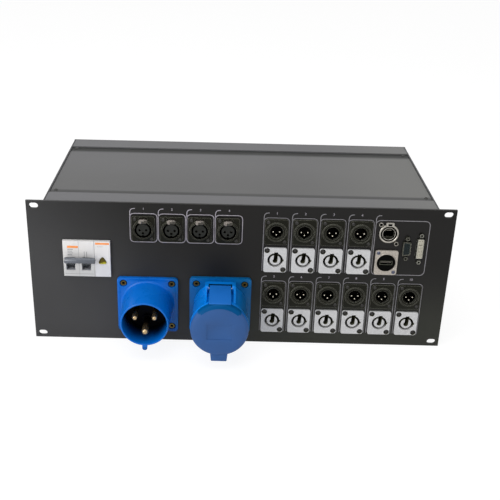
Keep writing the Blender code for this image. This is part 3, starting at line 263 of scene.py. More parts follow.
# Print on the panel: white ink in a thin layer, one rounded frame for each channel with a hooked
# lead above it, and a plain number over each hook.
INK_W, INK_T = 0.00085, 0.00006
INK_Y = FACE_Y - INK_T / 2
FRAME_CORNER, WIDE_CORNER, LEAD_CORNER = 0.0052, 0.0060, 0.0050
LEAD_UP, LEAD_OUT, LEAD_BACK = 0.0060, 0.0058, 0.0035
INPUT_X = (-0.1096, -0.0776, -0.0455, -0.0133)
INPUT_HALF, INPUT_LOW, INPUT_HIGH = 0.0153, 0.1292, 0.1644
OUTPUT_HALF = 0.0144
UPPER_ROW, LOWER_ROW, UPPER_COUNT = (0.0960, 0.1627), (0.0160, 0.0830), 4
LAST_FRAME = (0.1520, 0.2130, 0.0945, 0.1627)
NUMBER_UP, NUMBER_SIZE = 0.0056, 0.0040
ARC_STEPS = 6


def rounded_path(points, radius, closed):
    # The path with each corner replaced by an arc of short steps.
    points = [Vector(point) for point in points]
    path = []
    for i, point in enumerate(points):
        if not closed and i in (0, len(points) - 1):
            path.append(point)
            continue
        start = point + (points[i - 1] - point).normalized() * radius
        end = point + (points[(i + 1) % len(points)] - point).normalized() * radius
        for step in range(ARC_STEPS + 1):
            t = step / ARC_STEPS
            path.append(start * (1 - t) ** 2 + point * 2 * t * (1 - t) + end * t ** 2)
    return path


def geometry_tree(name, output, **inputs):
    # An empty tree with its sockets; each input is a label and its kind.
    tree = bpy.data.node_groups.new(name, "GeometryNodeTree")
    tree.is_modifier = True
    new_socket = tree.interface.new_socket
    for label, kind in inputs.items():
        label = label.replace("_", " ").title()
        new_socket(label, in_out="INPUT", socket_type=f"NodeSocket{kind}")
    new_socket(output, in_out="OUTPUT", socket_type="NodeSocketGeometry")
    return tree, tree.nodes.new("NodeGroupInput"), tree.nodes.new("NodeGroupOutput")


def ink_tree():
    tree, given, made = geometry_tree(
        "ink_lines", "Print",
        lines="Geometry", width="Float", thickness="Float", face_y="Float", finish="Material",
    )
    curve, normal, section, stripe, place, upright, real, coat = add(
        tree, "GeometryNodeMeshToCurve", "GeometryNodeSetCurveNormal",
        "GeometryNodeCurvePrimitiveQuadrilateral", "GeometryNodeCurveToMesh",
        "ShaderNodeCombineXYZ", "GeometryNodeTransform", "GeometryNodeRealizeInstances",
        "GeometryNodeSetMaterial",
    )
    normal.mode = "Z_UP"
    stripe.inputs["Fill Caps"].default_value = True
    upright.inputs["Rotation"].default_value = (math.pi / 2, 0, 0)
    wire(
        tree,
        (given, "Lines", curve, "Mesh"),
        (curve, "Curve", normal, "Curve"),
        (normal, "Curve", stripe, "Curve"),
        (given, "Width", section, "Width"),
        (given, "Thickness", section, "Height"),
        (section, "Curve", stripe, "Profile Curve"),
        (stripe, "Mesh", upright, "Geometry"),
        (given, "Face Y", place, "Y"),
        (place, "Vector", upright, "Translation"),
        (upright, "Geometry", real, "Geometry"),
        (real, "Geometry", coat, "Geometry"),
        (given, "Finish", coat, "Material"),
        (coat, "Geometry", made, "Print"),
    )
    return tree


def generated(name, source, tree, **values):
    # Runs the tree on the source mesh and keeps the result as a plain mesh object.
    base = bpy.data.objects.new(name, source)
    bpy.context.collection.objects.link(base)
    modifier = base.modifiers.new(name, "NODES")
    modifier.node_group = tree
    for item in tree.interface.items_tree:
        key = item.name.lower().replace(" ", "_")
        if item.item_type == "SOCKET" and item.in_out == "INPUT" and key in values:
            modifier[item.identifier] = values[key]
    graph = bpy.context.evaluated_depsgraph_get()
    base.update_tag()
    mesh = bpy.data.meshes.new_from_object(base.evaluated_get(graph))
    base.modifiers.clear()
    base.data = mesh
    return base


def settle(piece, slot, *nodes, body="case"):
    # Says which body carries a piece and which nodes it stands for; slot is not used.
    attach(piece, body)
    if nodes:
        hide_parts(*nodes)


def line_mesh(paths):
    bm = bmesh.new()
    for points, closed in paths:
        verts = [bm.verts.new((x, z, 0)) for x, z in points]
        for pair in zip(verts, verts[1:] + verts[:1] if closed else verts[1:]):
            bm.edges.new(pair)
    mesh = bpy.data.meshes.new("lines")
    bm.to_mesh(mesh)
    bm.free()
    return mesh


def channel_frame(left, right, low, high, closed, corner=FRAME_CORNER):
    outline = [(left, low), (left, high), (right, high), (right, low)]
    tip = high + LEAD_UP
    hook = [(left, high - LEAD_BACK), (left, tip), (left + LEAD_OUT, tip)]
    return [
        (rounded_path(outline, corner, closed), closed),
        (rounded_path(hook, LEAD_CORNER, False), False),
    ]


def middle(node):
    low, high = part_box(node)
    return (low + high) / 2


inputs = [f"audio_input_{i}" for i in range(1, 5)]
outputs = [f"audio_output_{i:02d}" for i in range(1, 11)]
powers = [f"power_outlet_{i:02d}" for i in range(1, 11)]
pale_lines, grey_lines, numbers = [], [], []
for i, x in enumerate(INPUT_X):
    pale_lines += channel_frame(x - INPUT_HALF, x + INPUT_HALF, INPUT_LOW, INPUT_HIGH, True)
    numbers.append((str(i + 1), x, INPUT_HIGH + NUMBER_UP))
for i, node in enumerate(outputs):
    x = middle(node).x
    low, high = UPPER_ROW if i < UPPER_COUNT else LOWER_ROW
    grey_lines += channel_frame(x - OUTPUT_HALF, x + OUTPUT_HALF, low, high, False)
    numbers.append((str(i + 1), x, high + NUMBER_UP))
grey_lines += channel_frame(*LAST_FRAME, True, WIDE_CORNER)
INK = {"relief": 0.000004, "patch": 0.004, "tone": 0.16}
ink_pale = finish("ink_pale", (168, 163, 172), 0.6, **INK)
ink_grey = finish("ink_grey", (132, 130, 134), 0.6, **INK)
INK_LINES = ink_tree()
for name, paths, ink in (
    ("input_frames", pale_lines, ink_pale), ("output_frames", grey_lines, ink_grey)
):
    sizes = {"width": INK_W, "thickness": INK_T, "face_y": INK_Y}
    settle(generated(name, line_mesh(paths), INK_LINES, finish=ink, **sizes), "panel_paint")


def as_object(name, bm):
    bmesh.ops.recalc_face_normals(bm, faces=bm.faces)
    mesh = bpy.data.meshes.new(name)
    bm.to_mesh(mesh)
    bm.free()
    made = bpy.data.objects.new(name, mesh)
    bpy.context.collection.objects.link(made)
    return made


def printed_numbers(name, items, material):
    # Plain figures, drawn flat and stood up on the panel's face.
    bm = bmesh.new()
    for text, x, z in items:
        curve = bpy.data.curves.new("figure", "FONT")
        curve.body = text
        curve.size = NUMBER_SIZE
        curve.align_x = "CENTER"
        curve.align_y = "CENTER"
        curve.extrude = INK_T / 2
        figure = bpy.data.objects.new("figure", curve)
        bpy.context.collection.objects.link(figure)
        graph = bpy.context.evaluated_depsgraph_get()
        mesh = bpy.data.meshes.new_from_object(figure.evaluated_get(graph))
        bpy.data.objects.remove(figure)
        upright = Matrix.Rotation(math.pi / 2, 4, "X")
        mesh.transform(Matrix.Translation((x, INK_Y, z)) @ upright)
        bm.from_mesh(mesh)
    bmesh.ops.remove_doubles(bm, verts=bm.verts, dist=1e-7)
    piece = as_object(name, bm)
    piece.data.materials.append(material)
    return piece


settle(printed_numbers("channel_numbers", numbers, ink_pale), "panel_paint")


# Case: four extruded aluminium rails, two side plates, two covers let in between the rails and a
# rear plate. All are sprayed mid grey, apart from the darker sides, and held by small screws.
SPRAY = {"grain": 0.0004, "relief": 0.00002, "gloss": 0.22}
RUBBED = {"bare": (165, 165, 165), "wear": 0.46}
case_coat = finish("case_coat", (97, 97, 98), 0.52, patch=0.12, tone=0.05, **SPRAY, **RUBBED)
strip_coat = finish("strip_coat", (100, 100, 102), 0.5, patch=0.10, tone=0.04, **SPRAY, **RUBBED)
side_coat = finish("side_coat", (58, 58, 60), 0.5, patch=0.1, tone=0.06, **SPRAY)
# Painted light: the rails' coat is painted lighter towards the right.
towards(strip_coat, (108, 108, 107), (1, 0, 0), 0.0800, 0.2300)
dress(case_coat, "bottom_cover", "rear_panel")
dress(strip_coat, "top_front_rail", "bottom_front_rail", "bottom_rear_rail")
dress(side_coat, "left_side_plate", "right_side_plate")
# The cover lies a little below the rails. Painted shade darkens it along both of its seams, and
# the rear rail's front wall too.
front_seam, rear_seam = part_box("top_front_rail")[1].y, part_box("top_rear_rail")[0].y
cover_coat = variant(case_coat, "cover_coat")
# Painted light: the cover is painted a little darker towards the front and lighter to the right.
towards(cover_coat, (92, 92, 92), (0, -1, 0), -0.0800, 0.0200)
towards(cover_coat, (106, 106, 104), (1, 0, 0), 0.0400, 0.2300)
towards(cover_coat, (64, 64, 64), (0, -1, 0), -front_seam - 0.0060, -front_seam - 0.0010)
towards(cover_coat, (34, 35, 34), (0, 1, 0), rear_seam - 0.0120, rear_seam - 0.0020)
dress(cover_coat, "top_cover")
rear_rail_coat = variant(strip_coat, "rear_rail_coat")
towards(rear_rail_coat, (26, 27, 26), (0, -1, 0), -rear_seam - 0.0008, -rear_seam - 0.0003)
dress(rear_rail_coat, "top_rear_rail")
FORWARD, BACKWARD = (math.pi / 2, 0, 0), (-math.pi / 2, 0, 0)
UPWARD, DOWNWARD = (0, 0, 0), (math.pi, 0, 0)
LEFTWARD, RIGHTWARD = (0, -math.pi / 2, 0), (0, math.pi / 2, 0)
CROWN = 0.78
CROSS = (1.15, 0.3, 0.6)
COVER_HEAD, CASE_HEAD = (0.0024, 0.0009), (0.0028, 0.0011)
COVER_SCREW_IN, COVER_SCREW_FRONT, COVER_SCREW_REAR = 0.0060, 0.0100, 0.0045
REAR_SCREW_X = (-0.212, -0.071, 0.071, 0.212)
SIDE_SCREW_Y = (-0.060, 0.128)
SCREW_Z = (0.0085, 0.1685)


def of_kind(sockets, kind, name=""):
    # The node has a socket of this name for every kind of value.
    return [s for s in sockets if s.type == kind and name in s.name][0]


def screw_tree():
    # A domed screw head with a cross recess, put at every point and turned at random on its axis.
    tree, given, made = geometry_tree(
        "cross_head_screws", "Screws", places="Geometry", head_radius="Float",
        crown_radius="Float", head_height="Float", recess_length="Float", recess_width="Float",
        recess_depth="Float", facing="Vector", seed="Int", finish="Material",
    )
    head, cut, depth, lift = add(
        tree, "GeometryNodeMeshCone", "GeometryNodeMeshBoolean", "ShaderNodeMath",
        "ShaderNodeCombineXYZ",
    )
    head.inputs["Vertices"].default_value = 24
    cut.operation = "DIFFERENCE"
    cut.solver = "EXACT"
    depth.operation = "MULTIPLY"
    depth.inputs[1].default_value = 2.0
    wire(
        tree,
        (given, "Head Radius", head, "Radius Bottom"),
        (given, "Crown Radius", head, "Radius Top"),
        (given, "Head Height", head, "Depth"),
        (head, "Mesh", cut, "Mesh 1"),
        (given, "Recess Depth", depth, 0),
        (given, "Head Height", lift, "Z"),
    )
    for first, second in (("Recess Length", "Recess Width"), ("Recess Width", "Recess Length")):
        size, bar, raised = add(
            tree, "ShaderNodeCombineXYZ", "GeometryNodeMeshCube", "GeometryNodeTransform"
        )
        wire(
            tree,
            (given, first, size, "X"),
            (given, second, size, "Y"),
            (depth, 0, size, "Z"),
            (size, "Vector", bar, "Size"),
            (bar, "Mesh", raised, "Geometry"),
            (lift, "Vector", raised, "Translation"),
            (raised, "Geometry", cut, "Mesh 2"),
        )
    points, copies, turned_copies, facing, chance, twist, real, coat = add(
        tree, "GeometryNodeMeshToPoints", "GeometryNodeInstanceOnPoints",
        "GeometryNodeRotateInstances", "FunctionNodeEulerToRotation", "FunctionNodeRandomValue",
        "ShaderNodeCombineXYZ", "GeometryNodeRealizeInstances", "GeometryNodeSetMaterial",
    )
    of_kind(chance.inputs, "VALUE", "Max").default_value = math.tau
    tree.links.new(of_kind(chance.outputs, "VALUE"), twist.inputs["Z"])
    wire(
        tree,
        (given, "Places", points, "Mesh"),
        (points, "Points", copies, "Points"),
        (cut, "Mesh", copies, "Instance"),
        (given, "Facing", facing, "Euler"),
        (facing, "Rotation", copies, "Rotation"),
        (given, "Seed", chance, "Seed"),
        (copies, "Instances", turned_copies, "Instances"),
        (twist, "Vector", turned_copies, "Rotation"),
        (turned_copies, "Instances", real, "Geometry"),
        (real, "Geometry", coat, "Geometry"),
        (given, "Finish", coat, "Material"),
        (coat, "Geometry", made, "Screws"),
    )
    return tree


SCREWS = screw_tree()


def point_mesh(name, places):
    mesh = bpy.data.meshes.new(name)
    mesh.from_pydata([tuple(place) for place in places], [], [])
    return mesh


def screws(name, places, facing, head, material, slot, seed=1, recess=CROSS):
    # head holds its radius and height, and recess the cross's length and width as shares of the
    # radius and its depth as a share of the height.
    radius, height = head
    piece = generated(
        name, point_mesh(name, places), SCREWS,
        head_radius=radius, crown_radius=radius * CROWN, head_height=height,
        recess_length=radius * recess[0], recess_width=radius * recess[1],
        recess_depth=height * recess[2], facing=facing, seed=seed, finish=material,
    )
    settle(piece, slot)


SMALL_METAL = {"grain": 0.0002, "relief": 0.000004, "patch": 0.002}
black_zinc = finish("black_zinc", (58, 57, 55), 0.3, metal=0.7, **SMALL_METAL)
cover_low, cover_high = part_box("top_cover")
for name, z, facing in (
    ("top_cover_screws", cover_high.z, UPWARD),
    ("bottom_cover_screws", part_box("bottom_cover")[0].z, DOWNWARD),
):
    corners = [
        (side * (cover_high.x - COVER_SCREW_IN), y, z)
        for side in (-1, 1)
        for y in (cover_low.y + COVER_SCREW_FRONT, cover_high.y - COVER_SCREW_REAR)
    ]
    screws(name, corners, facing, COVER_HEAD, black_zinc, "case_paint")
rear_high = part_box("rear_panel")[1]
rear_places = [(x, rear_high.y, z) for x in REAR_SCREW_X for z in SCREW_Z]
screws("rear_screws", rear_places, BACKWARD, CASE_HEAD, black_zinc, "case_paint")
for name, side, facing in (
    ("left_side_screws", -1, LEFTWARD), ("right_side_screws", 1, RIGHTWARD)
):
    places = [(side * rear_high.x, y, z) for y in SIDE_SCREW_Y for z in SCREW_Z]
    screws(name, places, facing, CASE_HEAD, black_zinc, "side_paint")


# Audio outputs: black moulded three-pin male sockets, each on a rounded flange that two black
# screws hold, with a raised rim round the barrel and three gold-plated pins.
JOIN, CUT = "UNION", "DIFFERENCE"
CLEAR = 0.02
SHARP_EDGE, SMOOTH_EDGE = math.radians(40), math.radians(32)


def cuboid(low, high):
    bm = bmesh.new()
    centre = (Vector(low) + Vector(high)) / 2
    size = Vector(high) - Vector(low)
    bmesh.ops.create_cube(bm, size=1, matrix=Matrix.LocRotScale(centre, None, size))
    return bm


def plate(width, height, y, corner, steps=6):
    # A plate in the panel's plane whose corners are rounded.
    bm = cuboid((-width / 2, y[0], -height / 2), (width / 2, y[1], height / 2))
    along = [e for e in bm.edges if abs(e.verts[0].co.y - e.verts[1].co.y) > 1e-6]
    bmesh.ops.bevel(bm, geom=along, offset=corner, segments=steps, profile=0.5, affect="EDGES")
    return bm


def turned(profile, sides=64, closed=False):
    # Points (radius, y) turned about the socket's axis; an open profile starts and ends on it.
    bm = bmesh.new()
    verts = [bm.verts.new((radius, y, 0)) for radius, y in profile]
    edges = [bm.edges.new(pair) for pair in zip(verts, verts[1:])]
    if closed:
        edges.append(bm.edges.new((verts[-1], verts[0])))
    bmesh.ops.spin(
        bm, geom=verts + edges, angle=math.tau, steps=sides, axis=(0, 1, 0), cent=(0, 0, 0),
        use_merge=True,
    )
    bmesh.ops.remove_doubles(bm, verts=bm.verts, dist=1e-6)
    bmesh.ops.recalc_face_normals(bm, faces=bm.faces)
    return bm


def rod(radius, y, at=(0.0, 0.0), sides=48):
    bm = turned([(0, y[0]), (radius, y[0]), (radius, y[1]), (0, y[1])], sides)
    bmesh.ops.translate(bm, verts=bm.verts, vec=(at[0], 0, at[1]))
    return bm


def together(shapes):
    whole = bmesh.new()
    for bm in shapes:
        mesh = bpy.data.meshes.new("shape")
        bm.to_mesh(mesh)
        bm.free()
        whole.from_mesh(mesh)
    return whole


def rods(radius, y, spots):
    return together([rod(radius, y, spot, 32) for spot in spots])


def carved(name, base, steps, material, edge=0.0003, at=(0.0, 0.0, 0.0), inner=None):
    # The base joined with or cut by each shape in turn, with its edges rounded, at its real place.
    # inner holds a test on a point of a face, and the finish of the faces that pass it.
    body = as_object(name, base)
    helpers = []
    for operation, bm in steps:
        helpers.append(as_object("helper", bm))
        step = body.modifiers.new(operation.title(), "BOOLEAN")
        step.operation = operation
        step.solver = "EXACT"
        step.object = helpers[-1]
    if edge:
        rounding = body.modifiers.new("Bevel", "BEVEL")
        rounding.width = edge
        rounding.segments = 2
        rounding.limit_method = "ANGLE"
        rounding.angle_limit = SHARP_EDGE
        rounding.use_clamp_overlap = True
    graph = bpy.context.evaluated_depsgraph_get()
    mesh = bpy.data.meshes.new_from_object(body.evaluated_get(graph))
    body.modifiers.clear()
    for helper in helpers:
        bpy.data.objects.remove(helper)
    mesh.materials.clear()
    mesh.materials.append(material)
    if inner:
        # A face is judged by the middle of its largest triangle.
        mesh.materials.append(inner[1])
        mesh.calc_loop_triangles()
        passed = [False] * len(mesh.polygons)
        for part in sorted(mesh.loop_triangles, key=lambda part: part.area):
            point = sum((mesh.vertices[i].co for i in part.vertices), Vector()) / 3
            passed[part.polygon_index] = inner[0](point)
        mesh.polygons.foreach_set("material_index", [int(flag) for flag in passed])
        mesh.attributes.new("inner", "BOOLEAN", "FACE").data.foreach_set("value", passed)
    mesh.transform(Matrix.Translation(at))
    mesh.shade_smooth()
    mesh.set_sharp_from_angle(angle=SMOOTH_EDGE)
    body.data = mesh
    return body


def repeat_tree():
    tree, given, made = geometry_tree(
        "repeat_form", "Row",
        places="Geometry", form="Object", finish="Material", inner_finish="Material",
    )
    form, points, copies, real, coat, marks, painted_shade = add(
        tree, "GeometryNodeObjectInfo", "GeometryNodeMeshToPoints",
        "GeometryNodeInstanceOnPoints", "GeometryNodeRealizeInstances",
        "GeometryNodeSetMaterial", "GeometryNodeInputNamedAttribute", "GeometryNodeSetMaterial",
    )
    marks.data_type = "BOOLEAN"
    marks.inputs["Name"].default_value = "inner"
    tree.links.new(of_kind(marks.outputs, "BOOLEAN"), painted_shade.inputs["Selection"])
    wire(
        tree,
        (given, "Form", form, "Object"),
        (given, "Places", points, "Mesh"),
        (points, "Points", copies, "Points"),
        (form, "Geometry", copies, "Instance"),
        (copies, "Instances", real, "Geometry"),
        (real, "Geometry", coat, "Geometry"),
        (given, "Finish", coat, "Material"),
        (coat, "Geometry", painted_shade, "Geometry"),
        (given, "Inner Finish", painted_shade, "Material"),
        (painted_shade, "Geometry", made, "Row"),
    )
    return tree


REPEAT = repeat_tree()


def repeated(name, form, places, material, slot, *nodes, painted_shade=None):
    # The form at every place, as one plain mesh; the form itself is then removed.
    values = {"form": form, "finish": material, "inner_finish": painted_shade or material}
    piece = generated(name, point_mesh(name, places), REPEAT, **values)
    bpy.data.objects.remove(form)
    settle(piece, slot, *nodes)


def face_point(node):
    return Vector((middle(node).x, FACE_Y, middle(node).z))


def at_each(places, spots, y=0):
    return [place + Vector((x, y, z)) for place in places for x, z in spots]


def across(point):
    return math.hypot(point.x, point.z)


def nearest(point, spots):
    return min(math.hypot(point.x - x, point.z - z) for x, z in spots)


# Painted highlight: the black nylon's pale edge colour stands for light caught along its edges.
black_nylon = finish(
    "black_nylon", (20, 20, 11), 0.42, patch=0.006, bare=(138, 138, 126), wear=0.85,
    radius=0.0005, gloss=0.12,
)
# deep_black is the slim socket's black face, and painted shade in holes, bores, recesses and gaps.
deep_black = finish(
    "deep_black", (5, 5, 4), 0.5, relief=0.000008, patch=0.006, tone=0.1, gloss=0.03
)
gold_plate = finish("gold_plate", (232, 224, 206), 0.2, metal=1.0, relief=0.000002, tone=0.05)
SEAT = -0.0003
FLANGE_W, FLANGE_H, FLANGE_T, FLANGE_CORNER = 0.0260, 0.0310, 0.0020, 0.0025
FLANGE_FRONT = SEAT - FLANGE_T
RIM_FRONT = FLANGE_FRONT - 0.0008
BARREL_R, MALE_BORE_R = 0.0117, 0.0083
FIXING_X, FIXING_Z = 0.0095, 0.0120
flange_corners = [(-FIXING_X, FIXING_Z), (FIXING_X, -FIXING_Z)]
PIN_SPREAD = 0.0037
pin_spots = [(-PIN_SPREAD, 0.0), (PIN_SPREAD, 0.0), (0.0, -PIN_SPREAD)]
male_rim = [
    (0, SEAT - 0.0005), (0.0118, SEAT - 0.0005), (0.0118, FLANGE_FRONT - 0.0004),
    (0.0114, RIM_FRONT), (0.0107, RIM_FRONT), (0.0102, FLANGE_FRONT - 0.0002),
    (0, FLANGE_FRONT - 0.0002),
]
male_bore = [
    (0, -CLEAR), (MALE_BORE_R, -CLEAR), (MALE_BORE_R, FLANGE_FRONT - 0.0004),
    (0.0076, FLANGE_FRONT + 0.0004), (0.0071, FLANGE_FRONT + 0.0010), (0.0071, 0.0094),
    (0, 0.0094),
]
key_slot = cuboid((-0.0015, -CLEAR, -0.0079), (0.0015, 0.0060, -0.0062))
male_steps = [
    (JOIN, rod(BARREL_R, (FLANGE_FRONT + 0.001, 0.0168))),
    (JOIN, turned(male_rim)),
    (CUT, turned(male_bore)),
    (CUT, key_slot),
]


def flange():
    return plate(FLANGE_W, FLANGE_H, (FLANGE_FRONT, SEAT), FLANGE_CORNER)


# Painted shade: the faces inside the bore are painted deep black.
def in_male_bore(point):
    return across(point) < MALE_BORE_R - 0.0001 and FLANGE_FRONT + 0.0006 < point.y < 0.0120


male_form = carved(
    "male_form", flange(), male_steps, black_nylon, inner=(in_male_bore, deep_black)
)
output_places = [face_point(node) for node in outputs]
repeated(
    "output_bodies", male_form, output_places, black_nylon, "black_plastic", *outputs,
    painted_shade=deep_black,
)
pin = [
    (0, 0.0092), (0.0010, 0.0092), (0.0010, -0.0002), (0.0009, -0.0008), (0.0006, -0.0012),
    (0, -0.00134),
]
pin_form = carved("pin_form", turned(pin, 20), [], gold_plate, edge=0)
repeated("output_pins", pin_form, at_each(output_places, pin_spots), gold_plate, "brass")
input_places = [face_point(node) for node in inputs]
socket_screw_places = at_each(output_places + input_places, flange_corners, FLANGE_FRONT)
SOCKET_HEAD = (0.0021, 0.0006)
screws(
    "socket_screws", socket_screw_places, FORWARD, SOCKET_HEAD, black_zinc, "black_plastic",
    seed=3,
)


# Audio inputs: black three-pole female sockets. The rubbery insert stands inside a deep rim, and a
# plated latch over it has to be pressed to let the plug go.
FEMALE_BORE_R = 0.0097
INSERT_R, SOCKET_HOLE_R = 0.0073, 0.0014
female_rim = [
    (0, SEAT - 0.0005), (0.0116, SEAT - 0.0005), (0.0116, -0.0050), (0.0111, -0.0055),
    (0, -0.0055),
]
latch_window = cuboid((-0.0052, -CLEAR, 0.0077), (0.0052, -0.0003, 0.0138))
female_steps = [
    (JOIN, rod(BARREL_R, (FLANGE_FRONT + 0.001, 0.0238))),
    (JOIN, turned(female_rim)),
    (CUT, rod(FEMALE_BORE_R, (-CLEAR, 0.0090))),
    (CUT, latch_window),
]


# Painted shade: the faces inside the bore are painted deep black.
def in_female_bore(point):
    return across(point) < FEMALE_BORE_R + 0.0002 and -0.0048 < point.y < 0.0120


# Painted shade: the faces inside the insert's holes are painted deep black.
def in_socket_hole(point):
    return nearest(point, pin_spots) < SOCKET_HOLE_R + 0.0001 and point.y > -0.0050


female_form = carved(
    "female_form", flange(), female_steps, black_nylon, inner=(in_female_bore, deep_black)
)
repeated(
    "input_bodies", female_form, input_places, black_nylon, "black_plastic", *inputs,
    painted_shade=deep_black,
)
insert_rubber = finish("insert_rubber", (36, 37, 34), 0.6, patch=0.004, tone=0.16, gloss=0.15)
socket_holes = [rod(SOCKET_HOLE_R, (-CLEAR, 0.0085), spot, 24) for spot in pin_spots]
insert_key = cuboid((-0.0012, -CLEAR, -0.0085), (0.0012, 0.0060, -0.0062))
insert_steps = [(CUT, together(socket_holes)), (CUT, insert_key)]
insert_form = carved(
    "insert_form", rod(INSERT_R, (-0.0052, 0.0092)), insert_steps, insert_rubber, edge=0,
    inner=(in_socket_hole, deep_black),
)
repeated(
    "input_inserts", insert_form, input_places, insert_rubber, "black_plastic",
    painted_shade=deep_black,
)
bush = [(0.00132, -0.0008), (0.00132, 0.0080), (0.00105, 0.0080), (0.00105, -0.0008)]
bush_form = carved("bush_form", turned(bush, 20, closed=True), [], gold_plate, edge=0)
repeated("input_contacts", bush_form, at_each(input_places, pin_spots), gold_plate, "brass")
latch_plate = finish(
    "latch_plate", (134, 128, 122), 0.26, metal=1.0, patch=0.0014, tone=0.4, soften=0.0003
)
# Painted shade: the floors of the latch's two dips are painted darker.
latch_shade = finish("latch_shade", (74, 71, 64), 0.4, metal=0.6, patch=0.002, tone=0.3)
for i in range(1, 5):
    node = f"audio_input_latch_{i}"
    latch_low, latch_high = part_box(node)
    half = (latch_high - latch_low) / 2

    def in_dip(point):
        beside = -0.0015 < point.x < half.x - 0.0002 and abs(point.z) < 0.0025
        return beside and point.y > -half.y + 0.0005

    dips = [
        (CUT, cuboid((-0.0016, -CLEAR, -0.0040), (0.0021, -half.y + 0.0012, 0.0004))),
        (CUT, cuboid((0.0016, -CLEAR, -0.0040), (0.0060, -half.y + 0.0009, 0.0014))),
    ]
    press = carved(
        f"input_press_{i}", plate(half.x * 2, half.z * 2, (-half.y, half.y), 0.0021, 5), dips,
        latch_plate, at=middle(node), inner=(in_dip, latch_shade),
    )
    settle(press, "nickel", node, body=f"input_latch_{i}")


# Power outlets: pale grey locking sockets. A deep ring groove surrounds a round core with a keyed
# slot, and a screw lies sunk in the flange at two of its corners.
grey_nylon = finish("grey_nylon", (200, 200, 201), 0.45, patch=0.0012, tone=0.09, gloss=0.3)
# Painted shade: a dark grey for the groove's walls, the slot and the screw wells.
groove_grey = finish("groove_grey", (84, 84, 66), 0.5, tone=0.3, gloss=0.08)
GROOVE_R, CORE_R, SUNK_R = 0.0088, 0.0062, 0.0032
EYE_R, EYE_Z = 0.0028, -0.0010
slot_view = [(-0.0019, EYE_Z), (-0.0011, 0.0098), (0.0033, 0.0098), (0.0027, EYE_Z)]


def walled(outlines, step):
    # The solid between two outlines that have their points in the same order. The walls go from
    # each point to the one that lies step further on.
    bm = bmesh.new()
    ends = [[bm.verts.new(point) for point in outline] for outline in outlines]
    bm.faces.new(ends[0])
    bm.faces.new(ends[1][::-1])
    count = len(ends[0])
    for i in range(count):
        j = (i + step) % count
        bm.faces.new((ends[0][j], ends[0][i], ends[1][i], ends[1][j]))
    bmesh.ops.recalc_face_normals(bm, faces=bm.faces)
    return bm


def flat_form(points, y):
    # A flat outline of (x, z) points made solid between two depths.
    return walled([[(x, depth, z) for x, z in points] for depth in y], -1)


coding_notch = cuboid((0.0066, -CLEAR, -0.0012), (0.0098, 0.0120, 0.0012))
power_steps = [
    (JOIN, rod(BARREL_R, (FLANGE_FRONT + 0.001, 0.0218))),
    (CUT, rod(GROOVE_R, (-CLEAR, 0.0120))),
    (JOIN, rod(CORE_R, (FLANGE_FRONT + 0.0006, 0.0123))),
    (CUT, rod(EYE_R, (-CLEAR, 0.0120), (0, EYE_Z), 32)),
    (CUT, flat_form(slot_view, (-CLEAR, 0.0120))),
    (CUT, coding_notch),
    (CUT, rods(SUNK_R, (-CLEAR, 0.0001), flange_corners)),
]


def in_power_opening(point):
    # The groove's walls, the slot and the screw wells are painted dark, as painted shade. The
    # lower part of the groove's outer wall faces up, so it stays as pale as the flange.
    sunk = nearest(point, flange_corners) < SUNK_R + 0.0001
    walls = across(point) < GROOVE_R + 0.0014 and FLANGE_FRONT + 0.0010 < point.y < 0.0125
    upward = point.z < -0.0045 and across(point) > CORE_R + 0.0010
    return (walls and not upward) or (sunk and point.y > FLANGE_FRONT + 0.0004)


power_form = carved(
    "power_form", flange(), power_steps, grey_nylon, inner=(in_power_opening, groove_grey)
)
power_places = [face_point(node) for node in powers]
repeated(
    "power_bodies", power_form, power_places, grey_nylon, "grey_plastic", *powers,
    painted_shade=groove_grey,
)
# Painted shade: a deep black ring at the bottom of each groove.
groove_shade_ring = [(0.0060, 0.0116), (0.0086, 0.0116), (0.0086, 0.0120), (0.0060, 0.0120)]
floor_form = carved("floor_form", turned(groove_shade_ring, 48, closed=True), [], deep_black, edge=0)
repeated("power_groove_floors", floor_form, power_places, deep_black, "black_plastic")
sunk_places = at_each(power_places, flange_corners, SEAT - 0.0002)
SUNK_HEAD = (0.0025, 0.0007)
screws(
    "power_outlet_screws", sunk_places, FORWARD, SUNK_HEAD, black_zinc, "grey_plastic", seed=5
)


# Network socket: a nickel-plated ring through the panel with a black groove in its face and a
# black jack inside, eight gold springs in the jack, a release latch on top and two bright screws.
chrome = finish(
    "chrome", (164, 160, 152), 0.22, metal=1.0, grain=0.0004, relief=0.000008, soften=0.0002
)
network_at = face_point("network_socket")
BEHIND = 0.0033
SPRING_LEAN, SPRING_PITCH, SPRING_UP = math.radians(-14), 0.00102, 0.0034
FINGER_PITCH = 0.00112
network_ring = [
    (0, 0.0235), (BARREL_R, 0.0235), (BARREL_R, -0.0003), (0.0114, -0.0009),
    (0.0108, -0.0014), (0.0099, -0.0015), (0.0093, -0.0011), (0.0091, -0.0004),
    (0.0091, 0.0042), (0.0077, 0.0042), (0.0077, -0.0005), (0.0075, -0.0009),
    (0.0070, -0.0009), (0.0067, -0.0004), (0.0067, 0.0030), (0, 0.0030),
]
LATCH_ROOM = Vector((0.0002, 0, 0.0002))
latch_low, latch_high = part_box("network_latch")
latch_low = latch_low - Vector((0.0004, 0, 0.0002))
latch_high = latch_high + Vector((0.0004, 0, 0.0016))
latch_half = (latch_high - latch_low) / 2
gap_low, gap_high = latch_low - network_at - LATCH_ROOM, latch_high - network_at + LATCH_ROOM
gap_low.y, gap_high.y = -CLEAR, BEHIND + 0.0023
jack_opening = cuboid((-0.0061, -CLEAR, -0.0045), (0.0061, 0.0150, 0.0045))
network_steps = [
    (JOIN, turned(network_ring)), (CUT, jack_opening), (CUT, cuboid(gap_low, gap_high))
]


def centred(count, pitch):
    return [(i - (count - 1) / 2) * pitch for i in range(count)]


